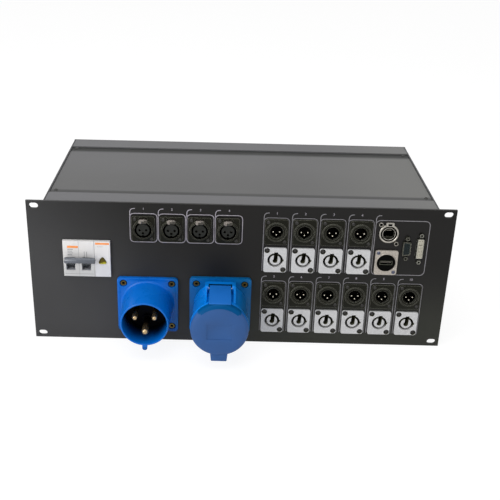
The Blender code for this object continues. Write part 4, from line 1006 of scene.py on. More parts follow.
# Inside the jack opening the plated faces are painted deep black, as painted shade.
def in_network_ring(point):
    jack = across(point) < 0.0068 and point.y > 0.0
    return jack or (0.0076 < across(point) < 0.0092 and -0.0003 < point.y < 0.0050)


network_body = carved(
    "network_body", plate(FLANGE_W, FLANGE_H, (BEHIND, BEHIND + 0.0020), FLANGE_CORNER),
    network_steps, chrome, edge=0.0001, at=network_at, inner=(in_network_ring, deep_black),
)
settle(network_body, "nickel", "network_socket")
jack_steps = [(CUT, cuboid((-0.0058, -CLEAR, -0.0042), (0.0058, CLEAR, 0.0042)))]
jack_face = rod(0.0066, (0.0014, 0.0028))
# The jack's face is black, and a deep black box inside it is painted shade.
liner_steps = [(CUT, cuboid((-0.0056, -CLEAR, -0.0040), (0.0056, 0.0140, 0.0040)))]
liner = cuboid((-0.0060, 0.0031, -0.0044), (0.0060, 0.0149, 0.0044))
for name, base, steps, material in (
    ("network_jack_face", jack_face, jack_steps, black_nylon),
    ("network_jack_liner", liner, liner_steps, deep_black),
):
    settle(carved(name, base, steps, material, edge=0, at=network_at), "black_plastic")
spring_bar = cuboid((-0.00022, 0.0050, -0.00015), (0.00022, 0.0125, 0.00015))
spring_form = carved("spring_form", spring_bar, [], gold_plate, edge=0)
spring_form.data.transform(Matrix.Rotation(SPRING_LEAN, 4, "X"))
spring_spots = [(x, SPRING_UP) for x in centred(8, SPRING_PITCH)]
spring_places = at_each([network_at], spring_spots)
repeated("network_springs", spring_form, spring_places, gold_plate, "brass")
hollow_low = (-0.0022, -latch_half.y - 0.001, -0.0016)
hollow_high = (0.0022, -latch_half.y + 0.0016, 0.0009)


# Painted shade: the hollow under the latch's press is painted deep black.
def in_press_hollow(point):
    beside = abs(point.x) < 0.0023 and -0.0017 < point.z < 0.0010
    return beside and -latch_half.y + 0.0003 < point.y < 0


network_press = carved(
    "network_press",
    plate(latch_half.x * 2, latch_half.z * 2, (-latch_half.y, latch_half.y), 0.0012, 4),
    [(CUT, cuboid(hollow_low, hollow_high))], chrome, edge=0.0002,
    at=(latch_low + latch_high) / 2, inner=(in_press_hollow, deep_black),
)
settle(network_press, "nickel", "network_latch", body="network_latch")
network_screw_places = at_each([network_at], [(-0.0097, 0.0112), (0.0095, -0.0122)])
NETWORK_HEAD = (0.0031, 0.0014)
ROUND_RECESS = (1.1, 1.1, 0.9)
screws(
    "network_screws", network_screw_places, FORWARD, NETWORK_HEAD, chrome, "nickel", seed=7,
    recess=ROUND_RECESS,
)


def shade_discs(name, places, y):
    # A dark disc at the bottom of each screw's recess: painted shade.
    form = carved("pit_form", rod(0.0017, (y, y + 0.0001), sides=24), [], deep_black, edge=0)
    repeated(name, form, places, deep_black, "black_plastic")


shade_discs("network_screw_pits", network_screw_places, -0.0003)


# Slim video socket: a plated, bead-blasted flange with a round black face, and in the face a flat
# slot with a thin metal lining that holds a contact tongue.
satin_nickel = finish(
    "satin_nickel", (170, 163, 154), 0.36, metal=0.7, relief=0.00002, patch=0.0016, tone=0.26,
    soften=0.0004,
)
lining_metal = finish("lining_metal", (96, 97, 86), 0.35, metal=0.9, relief=0.000006)
blued_steel = finish("blued_steel", (92, 95, 112), 0.3, metal=0.9, **SMALL_METAL)
dress(satin_nickel, "slim_video_socket")
slim_at = face_point("slim_video_socket")
slim_face = rod(0.0106, (FLANGE_FRONT + 0.0001, FLANGE_FRONT + 0.0007))
slim_slot = cuboid((-0.0072, -CLEAR, -0.0025), (0.0072, CLEAR, 0.0025))
slim_rim = [
    (0.0107, FLANGE_FRONT + 0.0004), (0.0107, RIM_FRONT), (0.0113, RIM_FRONT),
    (0.0119, FLANGE_FRONT + 0.0004),
]
slim_liner = cuboid((-0.00715, FLANGE_FRONT - 0.0002, -0.00245), (0.00715, 0.0079, 0.00245))
slim_hollow = cuboid((-0.0067, -CLEAR, -0.0020), (0.0067, 0.0078, 0.0020))
slim_tongue = cuboid((-0.0055, -0.0010, -0.0006), (0.0055, 0.0077, 0.0006))


# Painted shade: inside the slot the lining's faces are painted deep black.
def in_slim_liner(point):
    return abs(point.x) < 0.0068 and abs(point.z) < 0.0021 and point.y > FLANGE_FRONT + 0.0001


for name, base, steps, material, edge, inner, slot in (
    ("face", slim_face, [(CUT, slim_slot)], deep_black, 0.0002, None, "black_plastic"),
    ("rim", turned(slim_rim, closed=True), [], satin_nickel, 0.0002, None, "nickel"),
    (
        "liner", slim_liner, [(CUT, slim_hollow)], lining_metal, 0.0001,
        (in_slim_liner, deep_black), "nickel",
    ),
    ("tongue", slim_tongue, [], black_nylon, 0.0002, None, "black_plastic"),
):
    piece = carved(
        f"slim_video_{name}", base, steps, material, edge=edge, at=slim_at, inner=inner
    )
    settle(piece, slot)
finger_bar = cuboid((-0.00016, -0.0004, 0.00058), (0.00016, 0.0060, 0.00068))
finger_form = carved("finger_form", finger_bar, [], gold_plate, edge=0)
finger_places = at_each([slim_at], [(x, 0) for x in centred(9, FINGER_PITCH)])
repeated("slim_video_fingers", finger_form, finger_places, gold_plate, "brass")
slim_screws = at_each([slim_at], flange_corners, FLANGE_FRONT)
SLIM_HEAD = (0.0022, 0.0007)
screws("slim_video_screws", slim_screws, FORWARD, SLIM_HEAD, blued_steel, "nickel", seed=9)


# Analog video socket: an upright shell of thin plated steel round a dark insert with three columns
# of holes. A hexagonal threaded post at each end holds it to the panel.
# Painted highlight: the shell's pale edge colour stands for light caught along its edges.
dark_steel = finish(
    "dark_steel", (70, 70, 62), 0.3, metal=0.8, patch=0.0016, tone=0.35, bare=(190, 188, 176),
    wear=0.9, radius=0.0003,
)
teal_insert = finish("teal_insert", (22, 33, 34), 0.45, relief=0.000006, gloss=0.2)
POST_R, POST_BORE_R = 0.0026, 0.0012


def upright_outline(width, height, taper, inset=0.0, corner=0.0016):
    # Seen from the front: the right side is shorter than the left by twice the taper.
    half_w, half_h = width / 2 - inset, height / 2 - inset
    short = half_h - taper
    corners = [(-half_w, -half_h), (-half_w, half_h), (half_w, short), (half_w, -short)]
    return rounded_path(corners, corner, True)


def holes(patterns, y):
    # Each pattern holds columns, rows, their two pitches, half a hole's width and height, and its
    # own height.
    cutters = []
    for columns, rows, pitch_x, pitch_z, half_x, half_z, middle_z in patterns:
        for x in centred(columns, pitch_x):
            for up in centred(rows, pitch_z):
                z = middle_z + up
                low, high = (x - half_x, -CLEAR, z - half_z), (x + half_x, y, z + half_z)
                cutters.append(cuboid(low, high))
    return together(cutters)


def video_shell(node, at, size, posts, front, deep, wall, material):
    # size holds the width, the height and the taper, and posts is how far the posts stand apart.
    width, height, taper = size
    shell = upright_outline(width, height, taper)
    inside = upright_outline(width, height, taper, wall, 0.0012)
    post_spots = [(0, -posts / 2), (0, posts / 2)]
    steps = [
        (JOIN, flat_form(shell, (-front, 0.0040))),
        (JOIN, cuboid((-width / 2, 0.0038, -height / 2), (width / 2, 0.0150, height / 2))),
    ]
    for spot in post_spots:
        turns = [i * math.pi / 3 for i in range(6)]
        hexagon = [(POST_R * math.cos(a), spot[1] + POST_R * math.sin(a)) for a in turns]
        steps.append((JOIN, flat_form(hexagon, (-0.0028, 0.0040))))
        steps.append((CUT, rod(POST_BORE_R, (-CLEAR, 0.0020), spot, 24)))
    steps.append((CUT, flat_form(inside, (-CLEAR, -front + deep))))

    # Painted shade: the faces inside the posts' bores are painted deep black.
    def in_bore(point):
        return nearest(point, post_spots) < POST_BORE_R + 0.0001 and point.y > -0.0022

    base = plate(width + 0.0030, posts + 0.0084, (BEHIND, BEHIND + 0.0010), 0.0015, 3)
    name = node.replace("_socket", "_shell")
    piece = carved(name, base, steps, material, edge=0.00012, at=at, inner=(in_bore, deep_black))
    settle(piece, "nickel", node)


def contact_insert(name, at, size, y, patterns, material, dark, slot):
    width, height, taper = size

    # Painted shade: the faces inside the holes take the dark finish.
    def in_hole(point):
        beside = abs(point.x) < width / 2 - 0.0003 and abs(point.z) < height / 2 - 0.0003
        return beside and point.y > y[0] + 0.0001

    face = flat_form(upright_outline(width, height, taper, 0.0, 0.0010), y)
    cut = [(CUT, holes(patterns, y[1] - 0.0002))]
    settle(carved(name, face, cut, material, edge=0, at=at, inner=(in_hole, dark)), slot)


analog_at = face_point("analog_video_socket")
video_shell(
    "analog_video_socket", analog_at, (0.0092, 0.0176, 0.0010), 0.0250, 0.0030, 0.0022, 0.0011,
    dark_steel,
)
analog_holes = [(3, 5, 0.0018, 0.0025, 0.0005, 0.0005, 0.0)]
contact_insert(
    "analog_video_insert", analog_at, (0.0066, 0.0150, 0.0009), (-0.0026, -0.0010),
    analog_holes, teal_insert, deep_black, "black_plastic",
)


# Digital video socket: the same build with a longer, squarer shell and a cream insert. Its holes
# stand in three columns of eight, with a cross blade's slot and four more holes above them.
# Painted highlight: the shell's pale edge colour stands for light caught along its edges.
shell_steel = finish(
    "shell_steel", (104, 104, 96), 0.28, metal=1.0, patch=0.0016, tone=0.35,
    bare=(224, 222, 212), wear=0.9, radius=0.0004,
)
cream = finish("cream_insert", (186, 182, 166), 0.5, relief=0.000006, patch=0.0015, tone=0.16)
# Painted shade: a dark brown for the faces inside the cream insert's holes.
brown_depth = finish(
    "brown_depth", (104, 100, 80), 0.6, relief=0.000006, patch=0.002, gloss=0.1
)
digital_at = face_point("digital_video_socket")
video_shell(
    "digital_video_socket", digital_at, (0.0074, 0.0248, 0.0003), 0.0333, 0.0022, 0.0014,
    0.0006, shell_steel,
)
digital_holes = [
    (3, 8, 0.0018, 0.0018, 0.0004, 0.0004, -0.0037),
    (2, 2, 0.0026, 0.0028, 0.0005, 0.0005, 0.0080),
    (1, 1, 0, 0, 0.0024, 0.0003, 0.0048),
]
contact_insert(
    "digital_video_insert", digital_at, (0.0060, 0.0234, 0.0002), (-0.0021, -0.0009),
    digital_holes, cream, brown_depth, "grey_plastic",
)


# Mains inlet: a glossy blue moulded shroud on a square flange, with a key rib along its lower side
# and three brass pins that stand in a disc at the bottom of the shroud.
BACK = (0, 1, 0)
MOULD = {"grain": 0.0006, "patch": 0.02, "tone": 0.06}
DARK_MOULD = {"grain": 0.0005, "patch": 0.01, "tone": 0.1, "gloss": 0.08}
inlet_low, inlet_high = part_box("inlet_shell")
inlet_at = (inlet_low + inlet_high) / 2
inlet_at.y = FACE_Y
blue_gloss = finish("blue_gloss", (0, 102, 196), 0.3, relief=0.000012, gloss=0.22, **MOULD)
# Painted shade: the shroud's inside darkens towards the back.
inside_blue = variant(blue_gloss, "inside_blue")
towards(inside_blue, (1, 8, 18), BACK, FACE_Y - 0.0520, FACE_Y - 0.0160)
# Painted shade: the inlet is darker towards the right and on the key rib and flange below.
towards(blue_gloss, (0, 90, 158), (1, 0, 0), inlet_at.x + 0.0170, inlet_at.x + 0.0340)
towards(blue_gloss, (0, 82, 156), (0, 0, -1), 0.0285 - inlet_at.z, 0.0305 - inlet_at.z)
blue_black = finish("blue_black", (3, 4, 9), 0.5, **DARK_MOULD)
brass_pin = finish(
    "brass_pin", (180, 156, 118), 0.24, metal=0.85, grain=0.0005, relief=0.000004
)
# Painted shade: the pins darken towards the back of the shroud.
towards(brass_pin, (30, 22, 10), BACK, FACE_Y - 0.0430, FACE_Y - 0.0240)
brass_screw = finish(
    "brass_screw", (96, 84, 48), 0.34, metal=0.9, relief=0.000008, patch=0.0016, tone=0.3
)
MAINS_T = 0.0040
MAINS_FRONT = SEAT - MAINS_T
MAINS_CORNER = 0.0040
MAINS_SCREW, WELL_R = 0.0280, 0.0045
WELL_FLOOR = MAINS_FRONT + 0.0026
INLET_MOUTH, INLET_BORE_R = -0.0495, 0.0252
LINE_R, EARTH_R, PIN_RING = 0.0030, 0.0040, 0.0128
DISC_R, COLLAR_W = 0.0249, 0.0018
OUTLET_AXIS_UP = 0.0358
ROUND_SIDES = 128
shroud = [
    (0, 0.0140), (0.0265, 0.0140), (0.0265, -0.0020), (0.0316, -0.0020),
    (0.0315, MAINS_FRONT - 0.0001), (0.0305, MAINS_FRONT - 0.0005),
    (0.0299, MAINS_FRONT - 0.0012), (0.0296, MAINS_FRONT - 0.0024), (0.0276, -0.0482),
    (0.0274, -0.0490), (0.0268, INLET_MOUTH), (0, INLET_MOUTH),
]
inlet_bore = [
    (0, 0.0300), (INLET_BORE_R, 0.0300), (INLET_BORE_R, -0.0478),
    (0.0258, INLET_MOUTH - 0.0004), (0.0258, -0.0800), (0, -0.0800),
]
mains_corners = [(x, z) for x in (-MAINS_SCREW, MAINS_SCREW) for z in (-MAINS_SCREW, MAINS_SCREW)]


def in_shroud(point):
    return across(point) < INLET_BORE_R + 0.0003 and INLET_MOUTH + 0.0010 < point.y < 0.0130


key_rib = plate(0.0058, 0.0100, (INLET_MOUTH + 0.0004, -0.0260), 0.00285, 8)
bmesh.ops.translate(key_rib, verts=key_rib.verts, vec=(0, 0, -0.0288))
inlet_steps = [
    (JOIN, turned(shroud, ROUND_SIDES)),
    (JOIN, key_rib),
    (CUT, turned(inlet_bore, ROUND_SIDES)),
    (CUT, rods(WELL_R, (-CLEAR, WELL_FLOOR), mains_corners)),
]
inlet_plate = plate(0.0705, 0.0705, (MAINS_FRONT, SEAT), MAINS_CORNER, 8)
inlet_shell = carved(
    "mains_inlet_shell", inlet_plate, inlet_steps, blue_gloss, edge=0.0005, at=inlet_at,
    inner=(in_shroud, inside_blue),
)
settle(inlet_shell, "blue_plastic", "inlet_shell")
angles = [math.radians(angle) for angle in (150, 30)]
line_spots = [(PIN_RING * math.cos(a), PIN_RING * math.sin(a)) for a in angles]
earth_spot = (0.0, -PIN_RING)
pin_feet = [(line_spots[0], LINE_R), (line_spots[1], LINE_R), (earth_spot, EARTH_R)]
collars = [rod(radius + COLLAR_W, (-0.0150, -0.0100), spot, 32) for spot, radius in pin_feet]
pin_holes = [rod(radius + 0.0001, (-0.03, 0.03), spot, 32) for spot, radius in pin_feet]
inlet_disc = carved(
    "mains_inlet_disc", rod(DISC_R, (-0.0120, 0.0120), sides=96),
    [(JOIN, together(collars)), (CUT, together(pin_holes))], blue_black, edge=0, at=inlet_at,
)
settle(inlet_disc, "black_plastic", "inlet_pin_carrier")


def mains_pin(radius, tip):
    nose = [
        (radius * math.cos(a), -tip + radius - radius * math.sin(a))
        for a in (0, 0.35, 0.7, 1.05, 1.35)
    ]
    return [(0, 0.0200), (radius, 0.0200), (radius, -tip + 2 * radius)] + nose + [(0, -tip)]


for name, spot, radius, tip in (
    ("earth", earth_spot, EARTH_R, 0.0462),
    ("line", line_spots[0], LINE_R, 0.0476),
    ("neutral", line_spots[1], LINE_R, 0.0476),
):
    place = inlet_at + Vector((spot[0], 0, spot[1]))
    form = turned(mains_pin(radius, tip), 32)
    piece = carved(f"mains_{name}_pin", form, [], brass_pin, edge=0, at=place)
    settle(piece, "brass", f"inlet_{name}_pin")
outlet_low, outlet_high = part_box("outlet_shell")
outlet_at = Vector(((outlet_low.x + outlet_high.x) / 2, FACE_Y, outlet_low.z + OUTLET_AXIS_UP))
mains_places = at_each([inlet_at, outlet_at], mains_corners, MAINS_FRONT + 0.0025)
MAINS_HEAD = (0.0040, 0.0020)
DEEP_CROSS = (0.9, 0.45, 0.85)
screws(
    "mains_screws", mains_places, FORWARD, MAINS_HEAD, brass_screw, "brass", seed=11,
    recess=DEEP_CROSS,
)
shade_discs("mains_screw_pits", mains_places, -0.00045)


# Mains outlet: a blue moulded socket of the same family. Two lugs on top carry a steel pin, and a
# contact carrier with three holes stands inside, clear of the wall for the plug's collar.
HINGE = middle("lid_hinge_pin")
HINGE_Y, HINGE_Z = HINGE.y - FACE_Y, HINGE.z - outlet_at.z
OUTLET_MOUTH = -0.0540
LUG_IN, LUG_OUT, LUG_R = 0.0134, 0.01745, 0.0042
RIB_IN = LUG_OUT - 0.0024
LEDGE_Y, ROOT_Y, ROOT_Z = -0.0166, MAINS_FRONT + 0.001, 0.0220
CARRIER_R, CONTACT_GAP = 0.0207, 0.0005
BAR_SIDES = 32
outlet_body = [
    (0, 0.0140), (0.0262, 0.0140), (0.0262, -0.0020), (0.0312, -0.0020), (0.0312, -0.0478),
    (0.0318, -0.0488), (0.0329, -0.0500), (0.0332, -0.0508), (0.0332, OUTLET_MOUTH + 0.0004),
    (0.0329, OUTLET_MOUTH), (0, OUTLET_MOUTH),
]
outlet_bore = [
    (0, 0.0300), (0.0210, 0.0300), (0.0210, -0.0120), (0.0266, -0.0120), (0.0266, -0.0800),
    (0, -0.0800),
]


def side_view(points, low, high):
    # An outline seen from the side, of (y, z) points, made solid between two places along X.
    return walled([[(x, y, z) for y, z in points] for x in (low, high)], 1)


def arc(centre, radius, start, end, steps):
    angles = [math.radians(start + (end - start) * i / steps) for i in range(steps + 1)]
    return [(centre[0] + radius * math.cos(a), centre[1] + radius * math.sin(a)) for a in angles]


def hinge_bar(radius, half):
    last = 360 - 360 / BAR_SIDES
    return side_view(arc((HINGE_Y, HINGE_Z), radius, 0, last, BAR_SIDES - 1), -half, half)


lug_view = arc((HINGE_Y, HINGE_Z), LUG_R, 180, 62, 12)
lug_view += [(ROOT_Y, 0.0312), (ROOT_Y, ROOT_Z), (HINGE_Y - LUG_R, ROOT_Z)]
rib_view = [(HINGE_Y, HINGE_Z + LUG_R), (HINGE_Y, ROOT_Z), (-0.0496, ROOT_Z), (-0.0496, 0.0290)]
ledge_view = [(LEDGE_Y, 0.0349), (ROOT_Y, 0.0316), (ROOT_Y, ROOT_Z), (LEDGE_Y, ROOT_Z)]
outlet_steps = [
    (JOIN, turned(outlet_body, ROUND_SIDES)),
    (JOIN, side_view(ledge_view, -0.0150, 0.0150)),
    (JOIN, side_view(lug_view, -LUG_OUT, -LUG_IN)),
    (JOIN, side_view(rib_view, -LUG_OUT, -RIB_IN)),
    (JOIN, side_view(lug_view, LUG_IN, LUG_OUT)),
    (JOIN, side_view(rib_view, RIB_IN, LUG_OUT)),
    (CUT, turned(outlet_bore, ROUND_SIDES)),
    (CUT, cuboid((-LUG_IN, -0.11, 0.0287), (LUG_IN, LEDGE_Y, 0.07))),
    (CUT, hinge_bar(0.0013, 0.03)),
    (CUT, rods(WELL_R, (-CLEAR, WELL_FLOOR), mains_corners)),
]


# Painted shade: the faces in the gap behind the arm and beside the lugs are dark blue.
def behind_arm(point):
    beside = abs(point.x) < LUG_IN + 0.0001 and point.z > 0.0290
    return beside and -0.0520 < point.y < LEDGE_Y + 0.0001


sea_blue = finish("sea_blue", (0, 96, 158), 0.3, relief=0.000012, gloss=0.22, **MOULD)
# Painted light and shade: the barrel is painted a lighter blue than the flange, the right darker.
towards(sea_blue, (0, 126, 224), (0, -1, 0), 0.0046 - FACE_Y, 0.0064 - FACE_Y)
towards(sea_blue, (0, 92, 148), (1, 0, 0), outlet_at.x + 0.0080, outlet_at.x + 0.0320)
gap_blue = finish("gap_blue", (1, 22, 44), 0.5, **DARK_MOULD)
outlet_plate = plate(0.0716, 0.0716, (MAINS_FRONT, SEAT), MAINS_CORNER, 8)
outlet_shell = carved(
    "mains_outlet_shell", outlet_plate, outlet_steps, sea_blue, edge=0.0004, at=outlet_at,
    inner=(behind_arm, gap_blue),
)
settle(outlet_shell, "blue_plastic", "outlet_shell")
carrier_steps = [
    (CUT, rods(LINE_R + CONTACT_GAP, (-0.09, -0.0120), line_spots)),
    (CUT, rods(EARTH_R + CONTACT_GAP, (-0.09, -0.0120), [earth_spot])),
]
carrier = rod(CARRIER_R, (-0.0480, 0.0140), sides=96)
carrier = carved("mains_outlet_carrier", carrier, carrier_steps, sea_blue, at=outlet_at)
settle(carrier, "blue_plastic", "outlet_contact_carrier")
spring_steel = finish(
    "spring_steel", (150, 150, 152), 0.3, metal=1.0, relief=0.000004, patch=0.004, tone=0.1
)
dress(spring_steel, "lid_hinge_pin", "lid_spring")


# Lid of the outlet: a round cap moulded in one with its arm and its pull tab. Its front is matt
# and has a shallow bare rectangle, and a black rubber ring inside it seals the mouth.
LID_SEAT = OUTLET_MOUTH - 0.0003
LID_FRONT = LID_SEAT - 0.0097
lid_matt = finish("lid_matt", (40, 82, 139), 0.6, relief=0.000012, gloss=0.35, **MOULD)
rim_y = FACE_Y + LID_FRONT + 0.0048
towards(lid_matt, (0, 100, 186), BACK, rim_y, rim_y + 0.0004)
# Painted shade: the upward faces of the lid's rounded rim are a darker, duller blue.
brow_blue = finish("brow_blue", (0, 76, 130), 0.4, relief=0.000008, gloss=0.05, **MOULD)
cap = [
    (0, LID_SEAT), (0.0326, LID_SEAT), (0.0326, LID_FRONT + 0.0048),
    (0.0324, LID_FRONT + 0.0041), (0.0319, LID_FRONT + 0.0033), (0.0306, LID_FRONT + 0.0022),
    (0.0286, LID_FRONT + 0.0013), (0.0260, LID_FRONT + 0.0007), (0.0200, LID_FRONT + 0.0003),
    (0, LID_FRONT),
]
hollow = [
    (0, LID_SEAT + 0.0030), (0.0303, LID_SEAT + 0.0030), (0.0303, LID_SEAT - 0.0033),
    (0.0225, LID_SEAT - 0.0033), (0.0225, LID_FRONT + 0.0030), (0, LID_FRONT + 0.0030),
]
ARM_HALF, ARM_LOW = 0.0122, 0.0294
KNUCKLE_R, POCKET_HALF = 0.0036, 0.0038
arm_top, arm_tip = HINGE_Z + KNUCKLE_R, LID_FRONT + 0.0050
arm_view = arc((HINGE_Y, HINGE_Z), KNUCKLE_R, -90, 90, 16)
arm_view += [
    (arm_tip + 0.0006, arm_top - 0.0031), (arm_tip, arm_top - 0.0037), (arm_tip, ARM_LOW),
    (HINGE_Y, ARM_LOW),
]
TAB_Z = -0.0324
tab = plate(0.0192, 0.0140, (LID_FRONT + 0.0024, LID_FRONT + 0.0060), 0.0012, 4)
bmesh.ops.translate(tab, verts=tab.verts, vec=(0, 0, TAB_Z))
for vert in tab.verts:
    vert.co.x *= 1.05 if vert.co.z > TAB_Z else 0.94
pocket_low = (-POCKET_HALF, HINGE_Y - 0.0095, 0)
bare_label = cuboid((-0.0140, -0.2, -0.0100), (0.0140, LID_FRONT + 0.0009, 0.0090))
lid_steps = [
    (JOIN, side_view(arm_view, -ARM_HALF, ARM_HALF)),
    (JOIN, tab),
    (CUT, turned(hollow, ROUND_SIDES)),
    (CUT, bare_label),
    (CUT, hinge_bar(0.0014, 0.03)),
    (CUT, hinge_bar(0.0028, POCKET_HALF)),
    (CUT, cuboid(pocket_low, (POCKET_HALF, HINGE_Y, HINGE_Z + 0.0025))),
    (CUT, cuboid(pocket_low, (POCKET_HALF, HINGE_Y + 0.0072, HINGE_Z + 0.0010))),
]


def on_brow(point):
    beside_arm = abs(point.x) > ARM_HALF - 0.0001 or point.y < arm_tip + 0.0001
    upper = across(point) > 0.0284 and point.z > 0.0215
    return beside_arm and upper and LID_FRONT + 0.0010 < point.y < LID_SEAT + 0.0010


lid = carved(
    "mains_outlet_lid", turned(cap, ROUND_SIDES), lid_steps, lid_matt, edge=0.0004,
    at=outlet_at, inner=(on_brow, brow_blue),
)
settle(lid, "blue_plastic", "outlet_lid", body="outlet_lid")
seal_rubber = finish(
    "seal_rubber", (30, 30, 31), 0.75, grain=0.0004, relief=0.00002, patch=0.01, tone=0.1,
    soften=0.0006,
)
dress(seal_rubber, "lid_seal")


# Breaker: two white poles and a residual-current module, clipped side by side on a rail behind the
# panel. A dark bar ties the two levers, and the test button is a small yellow triangle.
white_case = finish(
    "white_case", (196, 196, 195), 0.42, grain=0.0004, relief=0.000012, patch=0.02, tone=0.03,
    soften=0.0005, gloss=0.3,
)
# Painted light: the white is lighter on the module and towards the top of the front.
towards(white_case, (211, 211, 214), (1, 0, 0), -0.1664, -0.1658)
towards(white_case, (226, 224, 223), (0, 0, 1), 0.0900, 0.1250)
dress(white_case, "breaker_body", "residual_current_module")
yellow_button = finish(
    "yellow_button", (88, 76, 8), 0.35, relief=0.000008, patch=0.0022, tone=0.4,
    soften=0.0005, gloss=0.2,
)
towards(yellow_button, (186, 178, 24), (0.35, 0, -1), -0.1600, -0.1570)
dress(yellow_button, "test_button")
PIVOT_IN, PIVOT_DOWN = 0.0020, 0.0065
PIVOT = middle("breaker_toggle")
PIVOT.y, PIVOT.z = FACE_Y + PIVOT_IN, middle("breaker_body").z - PIVOT_DOWN
LEVER_ANGLE = math.radians(31.6)
LEVER_REACH, HUB_R, LEVER_HALF, LEVER_T = 0.0153, 0.0052, 0.0047, 0.0024
LEVER_CENTRES = (-0.0099, 0.0083)
HUB_STEPS = 12
BAR_LOW, BAR_HIGH = -0.0152, 0.0196
lever_along = Vector((-math.cos(LEVER_ANGLE), math.sin(LEVER_ANGLE)))
lever_across = Vector((-lever_along.y, lever_along.x))


def lever_point(out, side):
    return tuple(lever_along * out + lever_across * side)


lever_view = [lever_point(LEVER_REACH, LEVER_T), lever_point(LEVER_REACH, -LEVER_T)]
for i in range(HUB_STEPS + 1):
    angle = math.pi * i / HUB_STEPS
    lever_view.append(lever_point(-math.sin(angle) * HUB_R, -math.cos(angle) * HUB_R))
bar_outline = (
    (0.0030, -0.0022), (0.0033, -0.0010), (0.0033, 0.0010), (0.0028, 0.0024),
    (0.0014, 0.0034), (-0.0012, 0.0034), (-0.0026, 0.0026), (-0.0030, 0.0008),
    (-0.0030, -0.0014), (-0.0020, -0.0030), (0.0016, -0.0032),
)
bar_view = [lever_point(LEVER_REACH + out, side) for out, side in bar_outline]
# Painted shade: the levers are painted darker than the tie bar.
lever_dark = finish("lever_dark", (46, 51, 54), 0.3, grain=0.0004, patch=0.004, gloss=0.4)
bar_grey = finish(
    "bar_grey", (82, 87, 96), 0.24, grain=0.0004, patch=0.006, tone=0.14, gloss=0.6
)
first, second = [side_view(lever_view, x - LEVER_HALF, x + LEVER_HALF) for x in LEVER_CENTRES]
levers = carved("breaker_levers", first, [(JOIN, second)], lever_dark, at=PIVOT)
settle(levers, "toggle_plastic", "breaker_toggle", body="breaker_toggle")
tie_bar = side_view(bar_view, BAR_LOW, BAR_HIGH)
tie_bar = carved("breaker_tie_bar", tie_bar, [], bar_grey, edge=0.0005, at=PIVOT)
settle(tie_bar, "toggle_plastic", body="breaker_toggle")
# Painted shade and light: a grey box in each lever window, painted lighter towards the bottom.
window_dark = finish("window_dark", (128, 132, 140), 0.4, grain=0.0004, tone=0.3, gloss=0.2)
towards(window_dark, (176, 178, 184), (0, 0, -1), 0.0020 - PIVOT.z, 0.0070 - PIVOT.z)
window = cuboid((-0.00515, -0.0030, -0.00815), (0.00515, 0.00765, 0.00815))
window_steps = [(CUT, cuboid((-0.0049, -CLEAR, -0.0079), (0.0049, 0.0074, 0.0079)))]
window_form = carved("window_form", window, window_steps, window_dark, edge=0)
window_places = [Vector((PIVOT.x + x, FACE_Y, PIVOT.z)) for x in LEVER_CENTRES]
repeated("breaker_windows", window_form, window_places, window_dark, "toggle_plastic")
NOSE_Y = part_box("breaker_body")[0].y
LINE_X, LINE_STEP = -0.1968, 0.0023
lines = [
    (
        LINE_X, LINE_X + 0.0062 - 0.0009 * (i % 2),
        0.1190 - i * LINE_STEP, 0.1196 - i * LINE_STEP,
    )
    for i in range(4)
]
strokes = [(-0.1779, -0.1775, 0.1062, 0.1172), (-0.1752, -0.1748, 0.1062, 0.1168)]
orange_bars = [(-0.1970, -0.1845, 0.1211, 0.1238), (-0.1649, -0.1490, 0.1260, 0.1283)]
seams = [
    (-0.1842, -0.1839, 0.0853, 0.1297), (-0.2005, -0.1675, 0.0880, 0.0884),
    (-0.1632, -0.1560, 0.1232, 0.1235),
]
PRINT = {"relief": 0.000003, "patch": 0.004, "tone": 0.08, "gloss": 0.3}
for name, coat, colour, bars in (
    ("breaker_orange", "orange_print", (246, 152, 82), orange_bars),
    ("breaker_marks", "grey_print", (104, 106, 112), lines + strokes),
    ("breaker_fine_lines", "pale_print", (150, 151, 154), seams),
):
    boxes = [cuboid((x0, NOSE_Y - INK_T, z0), (x1, NOSE_Y, z1)) for x0, x1, z0, z1 in bars]
    piece = as_object(name, together(boxes))
    piece.data.materials.append(finish(coat, colour, 0.5, **PRINT))
    settle(piece, "white_plastic")


# Pieces inside the closed case, which can't be seen from outside: the zinc-plated rail that
# carries the breaker, and the moulded terminal block for the mains wires.
zinc_rail = finish(
    "zinc_rail", (172, 174, 172), 0.4, metal=0.9, grain=0.0006, patch=0.01, tone=0.12
)
dress(zinc_rail, "carrier_rail")
block_grey = finish("block_grey", (190, 190, 186), 0.5, grain=0.0004, patch=0.01, tone=0.05)
dress(block_grey, "terminal_block")


# Studio: a pale floor and backdrop, a broad soft lamp overhead and three weaker ones in front, and
# the camera at the photograph's place.
FLOOR_HALF, FLOOR_GAP = 6, 0.0002
FLOOR_GLOW, FLOOR_GLOW_SHARE = 1.12, 0.78
SKY_LIGHT, SKY_SEEN = 0.48, 0.52
floor_view = ((-1, -1), (1, -1), (1, 1), (-1, 1))
floor_corners = [(x * FLOOR_HALF, y * FLOOR_HALF, 0) for x, y in floor_view]
floor_mesh = bpy.data.meshes.new("studio_floor")
floor_mesh.from_pydata(floor_corners, [], [(0, 1, 2, 3)])
floor = bpy.data.objects.new("studio_floor", floor_mesh)
bpy.context.collection.objects.link(floor)
floor.location.z = min(cad_low.z, 0.0) - FLOOR_GAP
floor_paint = bpy.data.materials.new("floor_paint")
floor_paint.use_nodes = True
floor_tree = floor_paint.node_tree
floor_shader = floor_tree.nodes["Principled BSDF"]
floor_shader.inputs["Base Color"].default_value = (0.86, 0.86, 0.86, 1)
floor_shader.inputs["Roughness"].default_value = 0.9
floor_shader.inputs["Specular IOR Level"].default_value = 0.1


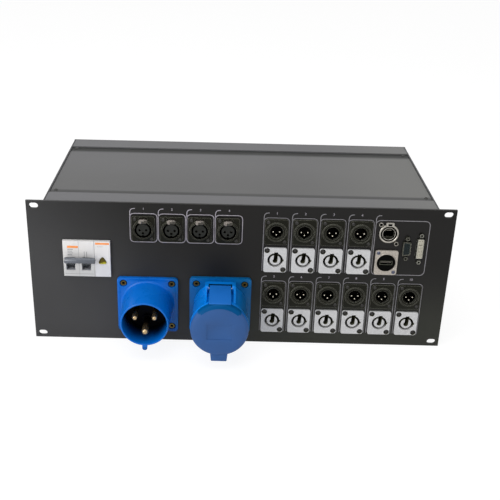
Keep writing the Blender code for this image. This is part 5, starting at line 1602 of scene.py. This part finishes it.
def seen_directly(tree):
    # 1 for rays that see the backdrop itself: from the camera, or mirrored or sent on by a piece.
    rays = add(tree, "ShaderNodeLightPath")[0].outputs
    straight = maths(tree, "MAXIMUM", rays["Is Camera Ray"], rays["Is Transmission Ray"])
    return maths(tree, "MAXIMUM", straight, rays["Is Glossy Ray"])


white, whitened = add(floor_tree, "ShaderNodeEmission", "ShaderNodeMixShader")
white.inputs["Strength"].default_value = FLOOR_GLOW
share = maths(floor_tree, "MULTIPLY", seen_directly(floor_tree), FLOOR_GLOW_SHARE)
floor_tree.links.new(share, whitened.inputs["Fac"])
wire(
    floor_tree,
    (floor_shader, "BSDF", whitened, 1),
    (white, "Emission", whitened, 2),
    (whitened, "Shader", floor_tree.nodes["Material Output"], "Surface"),
)
floor_mesh.materials.append(floor_paint)

world = bpy.data.worlds.new("studio")
bpy.context.scene.world = world
world.use_nodes = True
sky = world.node_tree
background = sky.nodes["Background"]
background.inputs["Color"].default_value = (1, 1, 1, 1)
level = maths(sky, "ADD", maths(sky, "MULTIPLY", seen_directly(sky), SKY_SEEN), SKY_LIGHT)
sky.links.new(level, background.inputs["Strength"])

for name, place, aim, size, watts in (
    ("overhead", (-0.3, -0.2, 1.7), (0, 0, 0.05), (1.6, 1.2), 15),
    ("front_left", (-1.3, -1.4, 0.9), (0, 0, 0.08), (0.9, 0.9), 8),
    ("low_left", (-0.85, -0.75, 0.4), (-0.2, 0, 0.08), (0.5, 0.5), 2.6),
    ("front_right", (1.4, -1.2, 0.8), (0, 0, 0.08), (0.9, 0.9), 1.5),
):
    data = bpy.data.lights.new(name, "AREA")
    data.shape = "RECTANGLE"
    data.size, data.size_y = size
    data.energy = watts
    lamp = bpy.data.objects.new(name, data)
    bpy.context.collection.objects.link(lamp)
    lamp.location = place
    lamp.rotation_euler = (Vector(aim) - Vector(place)).to_track_quat("-Z", "Y").to_euler()

camera_data = bpy.data.cameras.new("camera")
camera_data.sensor_width = 36.0
camera_data.lens = 60.91
camera_data.shift_x = 0.0559
camera_data.shift_y = -0.0381
camera = bpy.data.objects.new("camera", camera_data)
bpy.context.collection.objects.link(camera)
camera.location = (-0.0197, -0.94635, 0.5451)
camera.rotation_euler = [math.radians(a) for a in (65.2763, -1.2003, 0.6341)]
bpy.context.scene.camera = camera
bpy.context.scene.view_settings.view_transform = "Standard"
